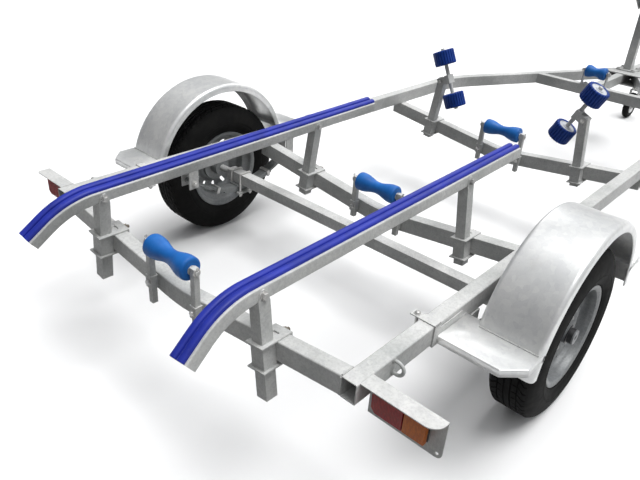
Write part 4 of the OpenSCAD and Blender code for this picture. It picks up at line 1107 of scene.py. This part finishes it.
def rail_fittings(side):
    """Bolts of the guard straps, seams of the guard, and welds of the lamp bracket and loop."""
    mirror = SIDES[side]
    for way in (-1, 1):
        x = guard_mid + way * (guard_reach + 5 * MM)
        y = half_w - 66 * MM
        head = mirror @ aim((x, y, rail_top + 4.2 * MM), Z_AXIS)
        washer(bolts, head, 11 * MM)
        lathe(bolts, FLAT_HEAD, head, 24)
        rod(bolts, [mirror @ Vector((x, y, z)) for z in (rail_bottom - 6 * MM, rail_top + 5 * MM)], 5 * MM)
        nut(bolts, mirror @ aim((x, y, rail_bottom - 4.2 * MM), -Z_AXIS), 10 * MM, 6 * MM)
        seam = guard_mid + way * (arch_half + 2 * MM)
        weld((seam, GUARD_IN + 8 * MM, STEP_Z + MM), (seam, guard_high.y - 8 * MM, STEP_Z + MM),
             2.4 * MM, mirror)
    low, high = node_box("lamp_brackets")
    plate = high.x - 1.5 * MM
    for a, b in (((plate, rail_bottom + 6 * MM), (plate, rail_top - 6 * MM)),
                 ((low.x, rail_top - 4 * MM), (high.x, rail_top - 4 * MM))):
        weld((a[0], half_w, a[1]), (b[0], half_w, b[1]), THIN_BEAD, mirror)
    low, high = node_box("tie_loops")
    for z in (low.z + 5 * MM, high.z - 5 * MM):
        root = aim(((low.x + high.x) / 2, half_w + MM, z), Y_AXIS)
        weld_ring(mirror @ root, 6 * MM, THIN_BEAD)


for side in SIDES:
    rail_fittings(side)


def front_fittings():
    """Bolts of the winch post, bow stop, nose roller, coupling and jockey bracket, and the
    welds of the chain lug and nose plates."""
    low, high = node_box("winch_post")
    for x in (low.x + 14 * MM, high.x - 14 * MM):
        for y in (-50 * MM, 50 * MM):
            bolt_head(bolts, aim((x, y, low.z + 8 * MM), Z_AXIS), 12 * MM)
    low, high = node_box("bow_stop_arms")
    for way in (-1, 1):
        outwards = Vector((0, way, 0))
        for z in (low.z + 35 * MM, low.z + 75 * MM):
            bolt_head(bolts, aim((high.x - 25 * MM, way * high.y, z), outwards), 10 * MM)
        nut(bolts, aim(joint_at("bow_roller_spin") + outwards * high.y, outwards), 12 * MM, 3 * MM)
    foot = node_box("nose_roller_bracket")[0].z + 5 * MM
    at = joint_at("nose_roller_spin")
    for way in (-1, 1):
        nut(bolts, aim((at.x, way * 77 * MM, at.z), (0, way, 0)), 14 * MM, MM)
        bolt_head(bolts, aim((at.x, way * 48 * MM, foot), Z_AXIS), 10 * MM)
    low = node_box("coupling")[0]
    for x in (low.x + 25 * MM, low.x + 85 * MM):
        bolt_head(bolts, aim((x, 0, low.z + 30 * MM), Z_AXIS), 12 * MM)
    low, high = node_box("jockey_bracket")
    for x in (low.x + 12 * MM, high.x - 12 * MM):
        for z in (low.z + 13 * MM, high.z - 13 * MM):
            bolt_head(bolts, aim((x, low.y + 8 * MM, z), Y_AXIS), 10 * MM)
    low, high = node_box("chain_lug")
    for z in (rail_bottom + 5 * MM, rail_top - 23 * MM):
        weld((low.x, -25.5 * MM, z), (high.x, -25.5 * MM, z), 2.4 * MM)
    low, high = node_box("nose_plates")
    for x in (low.x, high.x):
        for way in (-1, 1):
            weld((x, way * 22 * MM, high.z - 5 * MM), (x, way * 70 * MM, high.z - 5 * MM), THIN_BEAD)


front_fittings()
piece("frame_bolts", bolts, bright_zinc, "frame")
piece("clamp_bolts", old_bolts, brown_zinc, "frame")
piece("frame_welds", welds, rough_zinc, "frame", (), 60)

# ---------- floor and light ----------
FLOOR_HALF = 30.0
# the floor is white to look at, and throws less light up at the trailer
WHITE_FLOOR = (0.90, 0.90, 0.90)
DIM_FLOOR = (0.13, 0.13, 0.13)
# the light comes from above, a little from the right and from ahead of the trailer
BRIGHT_SIDE = (0.35, -0.25, 0.90)
DARK_SKY = (0.10, 0.10, 0.105, 1)
BRIGHT_SKY = (0.80, 0.81, 0.82, 1)
KEY_FROM = (0.14, -0.20, 0.97)
KEY_STRENGTH = 2.6
KEY_SPREAD = math.radians(38)
BACK_LAMP = Vector((5.5, 4.0, 5.5))
BACK_TARGET = Vector((-0.5, 0, 0.4))
BACK_POWER = 120
BACK_SIZE = 4.0


def seen_directly(tree):
    """1 for the rays that show a background: camera, glossy and transmission rays."""
    light_path = add_node(tree, "LightPath")
    total = light_path.outputs["Is Camera Ray"]
    for ray in ("Is Glossy Ray", "Is Transmission Ray"):
        either = add_node(tree, "Math")
        either.operation = "MAXIMUM"
        tree.links.new(total, either.inputs[0])
        tree.links.new(light_path.outputs[ray], either.inputs[1])
        total = either.outputs["Value"]
    return total


def studio_floor():
    """A large flat floor that takes the trailer's shadow."""
    bm = bmesh.new()
    bmesh.ops.create_grid(bm, x_segments=2, y_segments=2, size=FLOOR_HALF)
    mesh = bpy.data.meshes.new("floor")
    bm.to_mesh(mesh)
    bm.free()
    add_object("floor", mesh)
    material = bpy.data.materials.new("floor")
    material.use_nodes = True
    mesh.materials.append(material)
    tree = material.node_tree
    shader = tree.nodes["Principled BSDF"]
    shader.inputs["Roughness"].default_value = 0.9
    shader.inputs["Specular IOR Level"].default_value = 0.0
    tone = add_mix(tree, seen_directly(tree), DIM_FLOOR, WHITE_FLOOR)
    tree.links.new(tone, shader.inputs["Base Color"])


def studio_sky():
    """A soft sky, brightest on one side and dark below."""
    world = bpy.data.worlds.new("studio")
    bpy.context.scene.world = world
    world.use_nodes = True
    tree = world.node_tree
    facing = add_node(tree, "VectorMath")
    facing.operation = "DOT_PRODUCT"
    facing.inputs[1].default_value = BRIGHT_SIDE
    tree.links.new(add_node(tree, "TexCoord").outputs["Generated"], facing.inputs[0])
    tone = add_node(tree, "ValToRGB", Fac=facing.outputs["Value"])
    for stop, place, colour in zip(tone.color_ramp.elements, (0.18, 0.85), (DARK_SKY, BRIGHT_SKY)):
        stop.position = place
        stop.color = colour
    tree.links.new(tone.outputs["Color"], tree.nodes["Background"].inputs["Color"])


def lamp(name, kind, strength, place):
    data = bpy.data.lights.new(name, kind)
    data.energy = strength
    add_object(name, data).matrix_world = place
    return data


studio_floor()
studio_sky()
key = lamp("key", "SUN", KEY_STRENGTH, aim((0, 0, 8), KEY_FROM))
key.angle = KEY_SPREAD
back = lamp("back", "AREA", BACK_POWER, aim(BACK_LAMP, BACK_LAMP - BACK_TARGET))
back.shape = "SQUARE"
back.size = BACK_SIZE

bpy.context.scene.view_settings.view_transform = "Standard"
